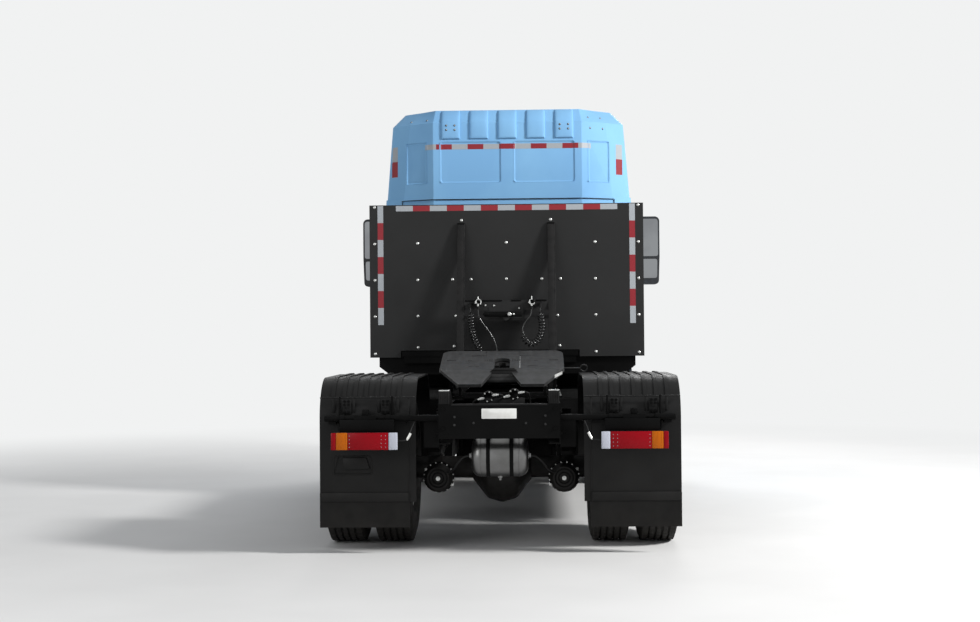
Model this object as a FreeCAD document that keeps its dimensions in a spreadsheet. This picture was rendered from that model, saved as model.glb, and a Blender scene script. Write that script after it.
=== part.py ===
import FreeCAD, Part
import math
import os
from types import SimpleNamespace
import Sketcher

# Cab-over road tractor with a battery rack behind the cab and one driven rear axle.
# X points to the right, Y forward and Z up, in millimetres, from the middle of its footprint.
SIZES = {
    # Layout along the length
    "wheelbase": 4000,
    "front_overhang": 1450,
    "rear_overhang": 840,
    # Frame
    "frame_width": 820,
    "rail_top": 1020,
    "rail_depth": 270,
    "rail_flange": 80,
    "rail_wall": 8,
    "frame_tail": 800,
    "rail_to_bumper": 245,
    "member_depth": 190,
    "member_flange": 60,
    "tail_plate": 10,
    "tail_ramp": 1110,
    # Wheels
    "tyre_radius": 526,
    "tyre_width": 279,
    "tread_width": 220,
    "bead_radius": 286,
    "rim_width": 210,
    "rim_flange": 17,
    "rim_wall": 12,
    "disc_offset": 170,
    "disc_hole": 141,
    "hand_hole": 24,
    "hand_hole_ring": 226,
    "drum_radius": 205,
    "drum_wall": 15,
    "rear_track": 1860,
    "dual_spacing": 340,
    "front_track": 2020,
    "bearing_gap": 0.05,
    # Axles
    "spindle_radius": 50,
    "front_spindle": 40,
    "axle_tube": 78,
    "bowl_radius": 255,
    "bowl_width": 420,
    "kingpin_inset": 110,
    "kingpin_radius": 22,
    "axle_eye": 60,
    "beam_depth": 90,
    "beam_drop": 110,
    "chamber_radius": 106,
    "chamber_spread": 440,
    "chamber_length": 230,
    "chamber_height": 480,
    "leaf_width": 90,
    "leaf_spread": 470,
    "leaf_thick": 14,
    # Fifth wheel
    "fifth_lead": 385,
    "fifth_height": 1292,
    "fifth_pivot_drop": 120,
    "fifth_width": 914,
    "fifth_front": 284,
    "fifth_flat_rear": 281,
    "fifth_ramp": 250,
    "fifth_ramp_angle": 9,
    "fifth_rest_tilt": 13.5,
    "fifth_thick": 22,
    "fifth_skirt": 62,
    "throat_half": 57,
    "throat_mouth": 144,
    "lock_radius": 25.5,
    "lock_depth": 46,
    "pivot_radius": 20,
    "pivot_spread": 352,
    "cheek_thick": 20,
    "lug_thick": 44,
    "mount_plate": 14,
    "release_drop": 12,
    "release_back": 120,
    "release_reach": 605,
    "release_ring": 29,
    "groove_deep": 4,
    # Battery rack
    "board_width": 2410,
    "board_bottom": 1282,
    "board_top": 2626,
    "board_thick": 40,
    "board_y": -125,
    "notch_left": 934,
    "notch_right": 638,
    "notch_rise": 60,
    "battery_length": 840,
    "battery_width": 2360,
    "strut_spread": 395,
    "strut_width": 62,
    "strut_top": 2463,
    "strut_lean": 380,
    "strut_deep": 72,
    "rack_height": 1775,
    # Cab
    "cab_rear": 885,
    "cab_bottom": 1180,
    "cab_belt": 1980,
    "cab_seam": 2791,
    "cab_roof_edge": 3500,
    "cab_top": 3630,
    "cab_sill_half": 1205,
    "cab_belt_half": 1225,
    "cab_seam_half": 1190,
    "cab_edge_half": 1120,
    "cab_top_half": 1010,
    "cab_flat_half": 708,
    "cab_facet_half": 1013,
    "cab_facet_depth": 135,
    "cab_corner_depth": 275,
    "cab_wall": 30,
    "cab_glass": 8,
    "cab_pin_radius": 18,
    "cab_mount_y": 1060,
    "cab_mount_spread": 330,
    "bellows_radius": 58,
    "hinge_pin": 5,
    "hinge_barrel": 9,
    "hinge_reach": 8,
    "bumper_gap": 40,
    "door_rear": 1850,
    "door_front": 2800,
    "door_sill": 1290,
    "door_top": 2660,
    "door_gap": 5,
    "window_bottom": 2030,
    "window_margin": 85,
    "rib_width": 157,
    "rib_pitch": 270,
    "rib_bottom": 3350,
    "press_bottom": 2923,
    "press_depth": 8,
    "recess_half": 1022,
    "recess_top": 2763,
    "nose_slot": 36,
    "nose_slot_half": 640,
    "floor_thick": 35,
    "dash_depth": 465,
    "seat_to_dash": 350,
    "seat_spread": 520,
    "seat_width": 480,
    "steering_radius": 215,
    "column_length": 420,
    "mirror_reach": 1590,
    "mirror_width": 245,
    # Rear mudguards and lamps
    "guard_inner": 570,
    "guard_outer": 1225,
    "guard_radius": 665,
    "guard_bend": 280,
    "guard_wall": 12,
    "guard_bottom": 352,
    "guard_seam": 1066,
    "guard_rib": 26,
    "guard_rib_pitch": 75,
    "guard_rib_rise": 8,
    "flap_bottom": 181,
    "lamp_length": 447,
    "lamp_height": 116,
    "lamp_depth": 60,
    "lamp_bottom": 718,
    "lamp_inner": 678,
    # Air tank
    "tank_radius": 139,
    "tank_half": 192,
    "tank_behind": 600,
    "tank_height": 655,
    # Front
    "bumper_half": 1235,
    "bumper_bottom": 350,
    "bumper_top": 965,
    "bumper_wall": 25,
    "bumper_bend": 260,
    "fender_radius": 612,
    "fender_wall": 12,
    # Loose air hoses
    "coil_radius": 29,
    "hose_radius": 6,
}

doc = FreeCAD.newDocument("Tractor")
sheet = doc.addObject("Spreadsheet::Sheet", "Sizes")
for row, (alias, number) in enumerate(SIZES.items(), start=1):
    sheet.set(f"A{row}", alias)
    sheet.set(f"B{row}", str(number))
    sheet.setAlias(f"B{row}", alias)
doc.recompute()


class Size:
    """A number together with the sheet expression that gives it."""

    def __init__(self, value, text):
        self.value = value
        self.text = text

    def __add__(self, other):
        return combine(self, "+", other)

    def __radd__(self, other):
        return combine(other, "+", self)

    def __sub__(self, other):
        return combine(self, "-", other)

    def __rsub__(self, other):
        return combine(other, "-", self)

    def __mul__(self, other):
        return combine(self, "*", other)

    def __rmul__(self, other):
        return combine(other, "*", self)

    def __truediv__(self, other):
        return combine(self, "/", other)

    def __neg__(self):
        return combine(0, "-", self)


WORK = {
    "+": lambda first, second: first + second,
    "-": lambda first, second: first - second,
    "*": lambda first, second: first * second,
    "/": lambda first, second: first / second,
}


def as_size(item):
    return item if isinstance(item, Size) else Size(float(item), repr(float(item)))


def combine(first, sign, second):
    first, second = as_size(first), as_size(second)
    return Size(WORK[sign](first.value, second.value), f"({first.text} {sign} {second.text})")


def sine(angle):
    return Size(math.sin(math.radians(angle.value)), f"sin({angle.text} * 1deg)")


def cosine(angle):
    return Size(math.cos(math.radians(angle.value)), f"cos({angle.text} * 1deg)")


def bind(thing, field, amount):
    """Give a property its value, by expression where the value comes from the sheet."""
    amount = as_size(amount)
    if "Sizes." in amount.text:
        thing.setExpression(field, amount.text)
        return
    *path, last = field.split(".")
    for step in path[:1]:
        if step == "Placement":
            place = FreeCAD.Placement(thing.Placement)
            setattr(place.Base, last, amount.value)
            thing.Placement = place
            return
        if step == "AttachmentOffset":
            place = FreeCAD.Placement(thing.AttachmentOffset)
            setattr(place.Base, last, amount.value)
            thing.AttachmentOffset = place
            return
    setattr(thing, last, amount.value)


s = SimpleNamespace(**{name: Size(float(value), f"Sizes.{name}") for name, value in SIZES.items()})

half_length = (s.front_overhang + s.wheelbase + s.rear_overhang) / 2
front_axle_y = half_length - s.front_overhang
rear_axle_y = front_axle_y - s.wheelbase
axle_z = s.tyre_radius
rail_outer = s.frame_width / 2
rail_inner = rail_outer - s.rail_flange
web_inner = rail_outer - s.rail_wall
rail_bottom = s.rail_top - s.rail_depth
rail_rear = rear_axle_y - s.frame_tail
rail_front = half_length - s.rail_to_bumper

X_AXIS = FreeCAD.Vector(1, 0, 0)
Y_AXIS = FreeCAD.Vector(0, 1, 0)
TURNS = {
    "X": FreeCAD.Rotation(Y_AXIS, 90),
    "Y": FreeCAD.Rotation(X_AXIS, -90),
    "Z": FreeCAD.Rotation(),
}
UPRIGHT = FreeCAD.Rotation(Y_AXIS, -90)


# Sketches: a closed outline whose corners, and their rounding, follow the sheet

def origin_plane(body, role):
    return next(item for item in body.Origin.OriginFeatures if item.Role == role)


def pin_point(sketch, geometry, place, x, y):
    for kind, amount in (("DistanceX", as_size(x)), ("DistanceY", as_size(y))):
        rule = Sketcher.Constraint(kind, -1, 1, geometry, place, amount.value)
        index = sketch.addConstraint(rule)
        if "Sizes." in amount.text:
            sketch.setExpression(f"Constraints[{index}]", amount.text)


def round_corner(before, here, after, radius):
    """The arc that rounds a corner, with the points where it leaves its two lines."""
    back = (before - here).normalize()
    ahead = (after - here).normalize()
    half = back.getAngle(ahead) / 2
    reach = radius / math.tan(half)
    middle = (back + ahead).normalize()
    crown = here + middle * (radius / math.sin(half) - radius)
    return here + back * reach, crown, here + ahead * reach


def draw_outline(sketch, points):
    corners = [FreeCAD.Vector(as_size(p[0]).value, as_size(p[1]).value, 0) for p in points]
    count = len(points)
    starts, ends, crowns = list(corners), list(corners), {}
    for i in range(count):
        if len(points[i]) == 3:
            radius = as_size(points[i][2]).value
            ends[i], crowns[i], starts[i] = round_corner(
                corners[i - 1], corners[i], corners[(i + 1) % count], radius)
    lines = [sketch.addGeometry(Part.LineSegment(starts[i], ends[(i + 1) % count])) for i in range(count)]
    for i in range(count):
        arriving, leaving = lines[i - 1], lines[i]
        if i not in crowns:
            sketch.addConstraint(Sketcher.Constraint("Coincident", arriving, 2, leaving, 1))
            pin_point(sketch, leaving, 1, *points[i])
            continue
        arc = sketch.addGeometry(Part.Arc(ends[i], crowns[i], starts[i]))
        first = 1 if (sketch.getPoint(arc, 1) - ends[i]).Length < 1e-6 else 2
        sketch.addConstraint(Sketcher.Constraint("Tangent", arriving, 2, arc, first))
        sketch.addConstraint(Sketcher.Constraint("Tangent", leaving, 1, arc, 3 - first))
        corner = sketch.addGeometry(Part.Point(corners[i]), True)
        sketch.addConstraint(Sketcher.Constraint("PointOnObject", corner, 1, arriving))
        sketch.addConstraint(Sketcher.Constraint("PointOnObject", corner, 1, leaving))
        pin_point(sketch, corner, 1, *points[i][:2])
        radius = as_size(points[i][2])
        index = sketch.addConstraint(Sketcher.Constraint("Radius", arc, radius.value))
        if "Sizes." in radius.text:
            sketch.setExpression(f"Constraints[{index}]", radius.text)


def sketch_on(body, role, name, points, offset=0):
    sketch = body.newObject("Sketcher::SketchObject", name)
    sketch.AttachmentSupport = [(origin_plane(body, role), "")]
    sketch.MapMode = "FlatFace"
    bind(sketch, "AttachmentOffset.Base.z", offset)
    draw_outline(sketch, points)
    return sketch


# Solids

def extrude(name, plane, points, low, high):
    """A pad of an outline drawn on XY, XZ or YZ, from low to high along the third axis."""
    body = doc.addObject("PartDesign::Body", name)
    backwards = plane == "XZ"
    sketch = sketch_on(body, plane + "_Plane", name + "_outline", points, -low if backwards else low)
    pad = body.newObject("PartDesign::Pad", name + "_pad")
    pad.Profile = sketch
    pad.Reversed = backwards
    bind(pad, "Length", as_size(high) - low)
    return body


def revolve(name, points, y=0, z=0):
    """A full turn of an (x, radius) outline about a line along X through (y, z)."""
    body = doc.addObject("PartDesign::Body", name)
    sketch = sketch_on(body, "XZ_Plane", name + "_outline", points)
    turn = body.newObject("PartDesign::Revolution", name + "_turn")
    turn.Profile = sketch
    turn.ReferenceAxis = (sketch, ["H_Axis"])
    turn.Angle = 360
    bind(body, "Placement.Base.y", y)
    bind(body, "Placement.Base.z", z)
    return body


def loft(name, sections):
    """A ruled loft through outlines on level planes, each given as (height, points)."""
    body = doc.addObject("PartDesign::Body", name)
    sketches = [sketch_on(body, "XY_Plane", f"{name}_level{i}", points, height)
                for i, (height, points) in enumerate(sections)]
    skin = body.newObject("PartDesign::AdditiveLoft", name + "_loft")
    skin.Profile = sketches[0]
    skin.Sections = sketches[1:]
    skin.Ruled = True
    return body


def box(name, xs, ys, zs):
    """A block between a low and a high value on each axis."""
    block = doc.addObject("Part::Box", name)
    for letter, field, (low, high) in zip("xyz", ("Length", "Width", "Height"), (xs, ys, zs)):
        bind(block, field, as_size(high) - low)
        bind(block, "Placement.Base." + letter, low)
    return block


def rod(name, axis, low, high, radius, x=0, y=0, z=0):
    """A round bar along an axis, from low to high, through the other two coordinates."""
    bar = doc.addObject("Part::Cylinder", name)
    bind(bar, "Radius", radius)
    bind(bar, "Height", as_size(high) - low)
    bar.Placement = FreeCAD.Placement(FreeCAD.Vector(), TURNS[axis])
    start = dict(X=x, Y=y, Z=z)
    start[axis] = low
    for letter, value in start.items():
        bind(bar, "Placement.Base." + letter.lower(), value)
    return bar


def cut(name, base, *tools):
    result = doc.addObject("Part::Cut", name)
    result.Base = base
    result.Tool = tools[0] if len(tools) == 1 else fuse(name + "_tools", *tools)
    return result


def fuse(name, *pieces):
    result = doc.addObject("Part::MultiFuse", name)
    result.Shapes = list(pieces)
    return result


def common(name, first, second):
    result = doc.addObject("Part::MultiCommon", name)
    result.Shapes = [first, second]
    return result


def group(name, *pieces):
    result = doc.addObject("Part::Compound", name)
    result.Links = list(pieces)
    return result


def mirrored(name, source):
    result = doc.addObject("Part::Mirroring", name)
    result.Source = source
    result.Normal = X_AXIS
    return result


def both_sides(name, source):
    """The right-hand piece and its mirror image in one sub-part."""
    return group(name, source, mirrored(name + "_mirror", source))


def shift(thing, y=0, z=0):
    bind(thing, "Placement.Base.y", y)
    bind(thing, "Placement.Base.z", z)
    return thing


def centred(half):
    return (-half, half)


# Frame

def frame_rail(name, side):
    points = [
        (side * rail_inner, rail_bottom), (side * rail_outer, rail_bottom),
        (side * rail_outer, s.rail_top), (side * rail_inner, s.rail_top),
        (side * rail_inner, s.rail_top - s.rail_wall), (side * web_inner, s.rail_top - s.rail_wall),
        (side * web_inner, rail_bottom + s.rail_wall), (side * rail_inner, rail_bottom + s.rail_wall),
    ]
    return extrude(name, "XZ", points, rail_rear, rail_front)


def channel(name, y, opening):
    """A pressed cross channel between the rail webs, open towards +Y or -Y."""
    middle = (s.rail_top + rail_bottom) / 2
    low = middle - s.member_depth / 2
    high = middle + s.member_depth / 2
    lip = y + opening * s.member_flange
    face = y + opening * s.rail_wall
    points = [
        (y, low), (lip, low), (lip, low + s.rail_wall), (face, low + s.rail_wall),
        (face, high - s.rail_wall), (lip, high - s.rail_wall), (lip, high), (y, high),
    ]
    return extrude(name, "YZ", points, -web_inner, web_inner)


def crossmembers():
    stations = [
        ("tail", rail_rear, 1),
        ("behind_axle", rear_axle_y - s.tank_behind + s.tank_radius + 60, 1),
        ("ahead_of_axle", rear_axle_y + s.bowl_radius + 320, -1),
        ("rack", s.board_y + s.battery_length / 2, 1),
        ("cab", front_axle_y - 420, -1),
    ]
    pieces = [channel("member_" + name, y, opening) for name, y, opening in stations]
    nose = rod("member_nose", "X", -web_inner, web_inner, 45, y=rail_front - 120,
               z=(s.rail_top + rail_bottom) / 2)
    pieces[0] = fuse("frame_tail", pieces[0], *tail_plate_and_ramps())
    return group("crossmembers", *pieces, nose)


def tail_plate_and_ramps():
    """Plate across the rail ends, and the ramps beside it that guide a trailer on to the coupling."""
    middle = (s.rail_top + rail_bottom) / 2
    back = rail_rear - s.tail_plate
    plate = box("tail_plate", centred(rail_outer - 5), (back, rail_rear),
                (middle - s.member_depth / 2 - 2, s.rail_top - 2))
    ramp = extrude("tail_ramp", "YZ", [
        (back, s.rail_top - 40), (back, s.tail_ramp - 70), (back + 25, s.tail_ramp, 15),
        (back + 150, s.tail_ramp, 60), (back + 330, s.rail_top), (rail_rear, s.rail_top),
        (rail_rear, s.rail_top - 40),
    ], rail_inner, rail_outer - 5)
    return plate, ramp, mirrored("tail_ramp_left", ramp)


def cab_mounts():
    """Stands on the rails, the cross beam on them and the two air bellows that the cab rests on."""
    low = s.rail_top + 60
    ys = (s.cab_mount_y - 35, s.cab_mount_y + 35)
    stand = box("mount_stand", (rail_inner + 5, rail_outer - 5), ys, (s.rail_top, low + 5))
    beam = box("mount_beam", centred(rail_outer - 5), ys, (low, low + 40))
    bellows = revolve("mount_bellows", [
        (0, 0), (0, s.bellows_radius - 14), (14, s.bellows_radius), (22, s.bellows_radius - 9),
        (30, s.bellows_radius), (40, s.bellows_radius - 16), (s.cab_bottom - 6 - low - 38, s.bellows_radius - 16),
        (s.cab_bottom - 6 - low - 38, 0),
    ])
    bellows.Placement = FreeCAD.Placement(FreeCAD.Vector(), UPRIGHT)
    bind(bellows, "Placement.Base.x", s.cab_mount_spread)
    bind(bellows, "Placement.Base.y", s.cab_mount_y)
    bind(bellows, "Placement.Base.z", low + 38)
    right = fuse("mount_right", stand, bellows)
    return fuse("cab_mounts", beam, right, mirrored("mount_left", right))


# Wheels

def tyre(name, side, centre):
    half = s.tyre_width / 2
    tread = s.tread_width / 2
    seat = s.rim_width / 2 - 11
    bead = s.bead_radius + 1
    flange = s.bead_radius + s.rim_flange + 2
    crown = s.tyre_radius
    right = [
        (seat, bead), (seat, flange), (seat + 12, flange + 3), (half - 10, bead + 68),
        (half, bead + 118), (half - 4, crown - 75), (tread + 12, crown - 26), (tread - 8, crown - 6),
    ]
    left = [(-x, radius) for x, radius in reversed(right)]
    points = [(side * centre + x, radius) for x, radius in right + [(0, crown)] + left]
    return revolve(name, points, y=0, z=0)


HAND_HOLES = 10
hand_holes = fuse("hand_holes", *[
    rod(f"hand_hole_{i}", "X", *centred(s.bumper_half), s.hand_hole,
        y=s.hand_hole_ring * cosine(as_size(360 / HAND_HOLES * i)),
        z=s.hand_hole_ring * sine(as_size(360 / HAND_HOLES * i)))
    for i in range(HAND_HOLES)
])


def rim(name, side, centre, facing):
    """A pressed disc wheel; facing is the way its dished disc points, outward or inward."""
    edge = s.rim_width / 2
    seat = edge - 10
    lip = s.bead_radius + s.rim_flange
    inside = s.bead_radius - s.rim_wall
    face = s.disc_offset
    back = face - s.rim_wall
    points = [
        (-edge, lip), (-seat, lip), (-seat, s.bead_radius), (seat, s.bead_radius), (seat, lip),
        (edge, lip), (edge, inside), (seat - 10, inside), (face, inside - 52),
        (face, s.disc_hole), (back, s.disc_hole), (back, inside - 60), (seat - 34, inside),
        (-edge, inside),
    ]
    placed = [(side * centre + side * facing * x, radius) for x, radius in points]
    return cut(name, revolve(name + "_pressed", placed), hand_holes)


def wheel_at(thing, y):
    return shift(thing, y, axle_z)


def rear_hub(name, side):
    face = s.rear_track / 2 - s.rim_wall
    bore = s.spindle_radius + s.bearing_gap
    pilot = s.disc_hole - 0.5
    inner = s.drum_radius - s.drum_wall
    start = face - 268
    points = [
        (start, bore), (start, 95), (face - 33, 95), (face - 33, inner), (start - 10, inner),
        (start - 10, s.drum_radius), (face, s.drum_radius), (face, pilot), (face + 27, pilot),
        (face + 27, 105), (face + 120, 105), (face + 132, 95), (face + 132, 0),
        (face + 112, 0), (face + 112, bore),
    ]
    return revolve(name, [(side * x, radius) for x, radius in points])


def front_hub(name, side):
    face = s.front_track / 2 + s.disc_offset - s.rim_wall
    bore = s.front_spindle + s.bearing_gap
    pilot = s.disc_hole - 0.5
    inner = s.drum_radius - s.drum_wall
    start = s.front_track / 2 - s.kingpin_inset + 75
    points = [
        (start, bore), (start, 85), (face - 33, 85), (face - 33, inner), (start + 3, inner),
        (start + 3, s.drum_radius), (face, s.drum_radius), (face, pilot), (face + 27, pilot),
        (face + 27, 90), (face + 57, 80), (face + 57, 0), (face + 42, 0), (face + 42, bore),
    ]
    return revolve(name, [(side * x, radius) for x, radius in points])


def rear_wheels(word, side):
    inner = (s.rear_track - s.dual_spacing) / 2
    outer = (s.rear_track + s.dual_spacing) / 2
    tyres = [wheel_at(tyre(f"tyre_rear_{word}_{place}", side, x), rear_axle_y)
             for place, x in (("inner", inner), ("outer", outer))]
    rims = [
        wheel_at(rim(f"rim_rear_{word}_inner", side, inner, 1), rear_axle_y),
        wheel_at(rim(f"rim_rear_{word}_outer", side, outer, -1), rear_axle_y),
        wheel_at(rear_hub(f"hub_rear_{word}", side), rear_axle_y),
    ]
    return group("tyres_rear_" + word, *tyres), group("rims_rear_" + word, *rims)


def front_wheel(word, side):
    centre = s.front_track / 2
    rubber = wheel_at(tyre("tyre_front_" + word, side, centre), front_axle_y)
    disc = wheel_at(rim(f"rim_disc_front_{word}", side, centre, 1), front_axle_y)
    hub = wheel_at(front_hub(f"hub_front_{word}", side), front_axle_y)
    return rubber, group("rim_front_" + word, disc, hub)


# Axles and suspension

def rear_axle():
    tip = s.rear_track / 2 + 92
    shoulder = (s.rear_track - s.dual_spacing) / 2 - 135
    tube = wheel_at(rod("axle_tube", "X", -shoulder, shoulder, s.axle_tube), rear_axle_y)
    spindle = wheel_at(rod("axle_spindle", "X", -tip, tip, s.spindle_radius), rear_axle_y)
    half = s.bowl_width / 2
    bowl = wheel_at(revolve("axle_bowl", [
        (-half, 0), (-half, s.axle_tube + 10), (-half / 2, s.bowl_radius - 30, 60),
        (0, s.bowl_radius, 60), (half / 2, s.bowl_radius - 30, 60), (half, s.axle_tube + 10), (half, 0),
    ]), rear_axle_y)
    nose = rod("axle_nose", "Y", rear_axle_y + 120, rear_axle_y + s.bowl_radius + 90, 95, z=axle_z)
    arm_x = (s.chamber_spread - 25, s.chamber_spread + 25)
    arm = box("chamber_arm", arm_x, (rear_axle_y - 150, rear_axle_y), (axle_z - 70, axle_z + 20))
    pad = box("spring_pad", (s.leaf_spread - s.leaf_width / 2, s.leaf_spread + s.leaf_width / 2),
              (rear_axle_y - 80, rear_axle_y + 80), (axle_z, axle_z + s.axle_tube + 20))
    seats = fuse("axle_seats", arm, pad)
    return fuse("rear_axle", tube, spindle, bowl, nose, seats, mirrored("axle_seats_mirror", seats))


def brake_chambers():
    front = rear_axle_y - 150
    back = front - s.chamber_length
    points = [
        (0, 0), (0, s.chamber_radius - 28), (40, s.chamber_radius - 6), (96, s.chamber_radius - 6),
        (96, s.chamber_radius), (122, s.chamber_radius), (122, s.chamber_radius - 6),
        (s.chamber_length - 30, s.chamber_radius - 14), (s.chamber_length, s.chamber_radius - 40),
        (s.chamber_length, 0),
    ]
    can = revolve("chamber_can", points)
    can.Placement = FreeCAD.Placement(FreeCAD.Vector(), FreeCAD.Rotation(FreeCAD.Vector(0, 0, 1), 90))
    bind(can, "Placement.Base.x", s.chamber_spread)
    bind(can, "Placement.Base.y", back)
    bind(can, "Placement.Base.z", s.chamber_height)
    return both_sides("brake_chambers", can)


def leaf_pack(name, y, seat, half, leaves):
    """Half-elliptic leaves stacked on an axle seat, longest on top, with rail hangers."""
    thick = s.leaf_thick * leaves
    xs = (s.leaf_spread - s.leaf_width / 2, s.leaf_spread + s.leaf_width / 2)
    low = as_size(seat)
    high = rail_bottom + 40
    points = [
        (y - 110, low), (y + 110, low), (y + half * 0.55, low + thick * 0.55),
        (y + half, high - s.leaf_thick), (y + half, high), (y + half * 0.55, low + thick),
        (y + 110, low + thick * 1.05), (y - 110, low + thick * 1.05), (y - half * 0.55, low + thick),
        (y - half, high), (y - half, high - s.leaf_thick), (y - half * 0.55, low + thick * 0.55),
    ]
    pack = extrude(name + "_leaves", "YZ", points, *xs)
    pieces = [pack]
    for end, sign in (("front", 1), ("rear", -1)):
        eye = y + sign * half
        pieces.append(box(f"{name}_hanger_{end}", (rail_outer, xs[1]), (eye - 45, eye + 45),
                          (high - 70, high + 120)))
        pieces.append(rod(f"{name}_eye_{end}", "X", xs[0], xs[1], 32, y=eye, z=high - 20))
    return fuse(name, *pieces)


def leaf_springs():
    front = leaf_pack("spring_front", front_axle_y, axle_z - s.beam_drop + s.beam_depth / 2, 720, 3)
    rear = leaf_pack("spring_rear", rear_axle_y, axle_z + s.axle_tube + 20, 630, 5)
    pieces = [front, mirrored("spring_front_mirror", front), rear, mirrored("spring_rear_mirror", rear)]
    return group("leaf_springs", *pieces)


kingpin_x = s.front_track / 2 - s.kingpin_inset


def front_axle():
    """Forged drop beam whose eyes hold the kingpins."""
    middle = axle_z - s.beam_drop
    low = middle - s.beam_depth / 2
    high = middle + s.beam_depth / 2
    eye_low = axle_z - s.axle_eye
    eye_high = axle_z + s.axle_eye
    reach = kingpin_x - 40
    points = [
        (-reach, eye_low + 15), (-reach + 90, eye_low + 15, 40), (-reach + 220, low, 60),
        (reach - 220, low, 60), (reach - 90, eye_low + 15, 40), (reach, eye_low + 15),
        (reach, eye_high - 15), (reach - 110, eye_high - 15, 40), (reach - 235, high, 60),
        (-reach + 235, high, 60), (-reach + 110, eye_high - 15, 40), (-reach, eye_high - 15),
    ]
    beam = extrude("axle_beam", "XZ", points, front_axle_y - 40, front_axle_y + 40)
    pieces = [beam]
    for word, side in (("left", -1), ("right", 1)):
        pieces.append(rod("axle_eye_" + word, "Z", eye_low, eye_high, 50, x=side * kingpin_x, y=front_axle_y))
        pieces.append(rod("kingpin_" + word, "Z", axle_z - 112, axle_z + 112, s.kingpin_radius,
                          x=side * kingpin_x, y=front_axle_y))
    return fuse("front_axle", *pieces)


def knuckle(word, side):
    """Yoke that turns on the kingpin and carries the front wheel's spindle."""
    web = kingpin_x + 55
    tip = s.front_track / 2 + s.disc_offset + 20
    clear = s.axle_eye + 2
    lug = 48
    bore = s.kingpin_radius + s.bearing_gap

    def slab(name, low, high):
        points = [(side * (kingpin_x - 42), front_axle_y - 42, 40), (side * (web + 13), front_axle_y - 60),
                  (side * (web + 13), front_axle_y + 60), (side * (kingpin_x - 42), front_axle_y + 42, 40)]
        return extrude(name, "XY", points, low, high)

    upper = slab(f"yoke_upper_{word}", axle_z + clear, axle_z + clear + lug)
    lower = slab(f"yoke_lower_{word}", axle_z - clear - lug, axle_z - clear)
    ends = (web, web + 13) if side > 0 else (-web - 13, -web)
    plate = box(f"yoke_web_{word}", ends, (front_axle_y - 60, front_axle_y + 60),
                (axle_z - clear - lug, axle_z + clear + lug))
    reach = (web, tip) if side > 0 else (-tip, -web)
    spindle = rod(f"spindle_{word}", "X", reach[0], reach[1], s.front_spindle, y=front_axle_y, z=axle_z)
    hole = rod(f"yoke_bore_{word}", "Z", axle_z - 2 * clear, axle_z + 2 * clear, bore,
               x=side * kingpin_x, y=front_axle_y)
    return cut("knuckle_" + word, fuse(f"yoke_{word}", upper, lower, plate, spindle), hole)


def driveline():
    """Electric drive unit between the rails, and the shaft from it to the rear axle."""
    unit_rear = rear_axle_y + 1150
    unit = box("drive_unit", centred(250), (unit_rear, unit_rear + 720), (axle_z + 30, s.rail_top - 60))
    nose = rear_axle_y + s.bowl_radius + 90.3
    return unit, rod("propeller_shaft", "Y", nose, unit_rear - 0.3, 55, z=axle_z + 60)


# Fifth wheel, drawn level about its pivot and then tilted to its rest

fifth_y = rear_axle_y + s.fifth_lead
fifth_pivot_z = s.fifth_height - s.fifth_pivot_drop


def tilt_fifth(thing):
    """Put a piece drawn about the fifth wheel's pivot at its rest tilt."""
    thing.Placement = FreeCAD.Placement(FreeCAD.Vector(), FreeCAD.Rotation(X_AXIS, s.fifth_rest_tilt.value))
    bind(thing, "Placement.Base.y", fifth_y)
    bind(thing, "Placement.Base.z", fifth_pivot_z)
    thing.setExpression("Placement.Rotation.Angle", s.fifth_rest_tilt.text + " * 1deg")
    return thing


def fifth_lug(name):
    """Ear under the plate that hangs on the pivot pin, drawn for the right-hand side."""
    under = s.fifth_pivot_drop - s.fifth_thick
    points = [(-95, under + 4), (-46, -44, 40), (46, -44, 40), (95, under + 4)]
    return extrude(name, "YZ", points, s.pivot_spread - s.lug_thick / 2, s.pivot_spread + s.lug_thick / 2)


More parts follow.
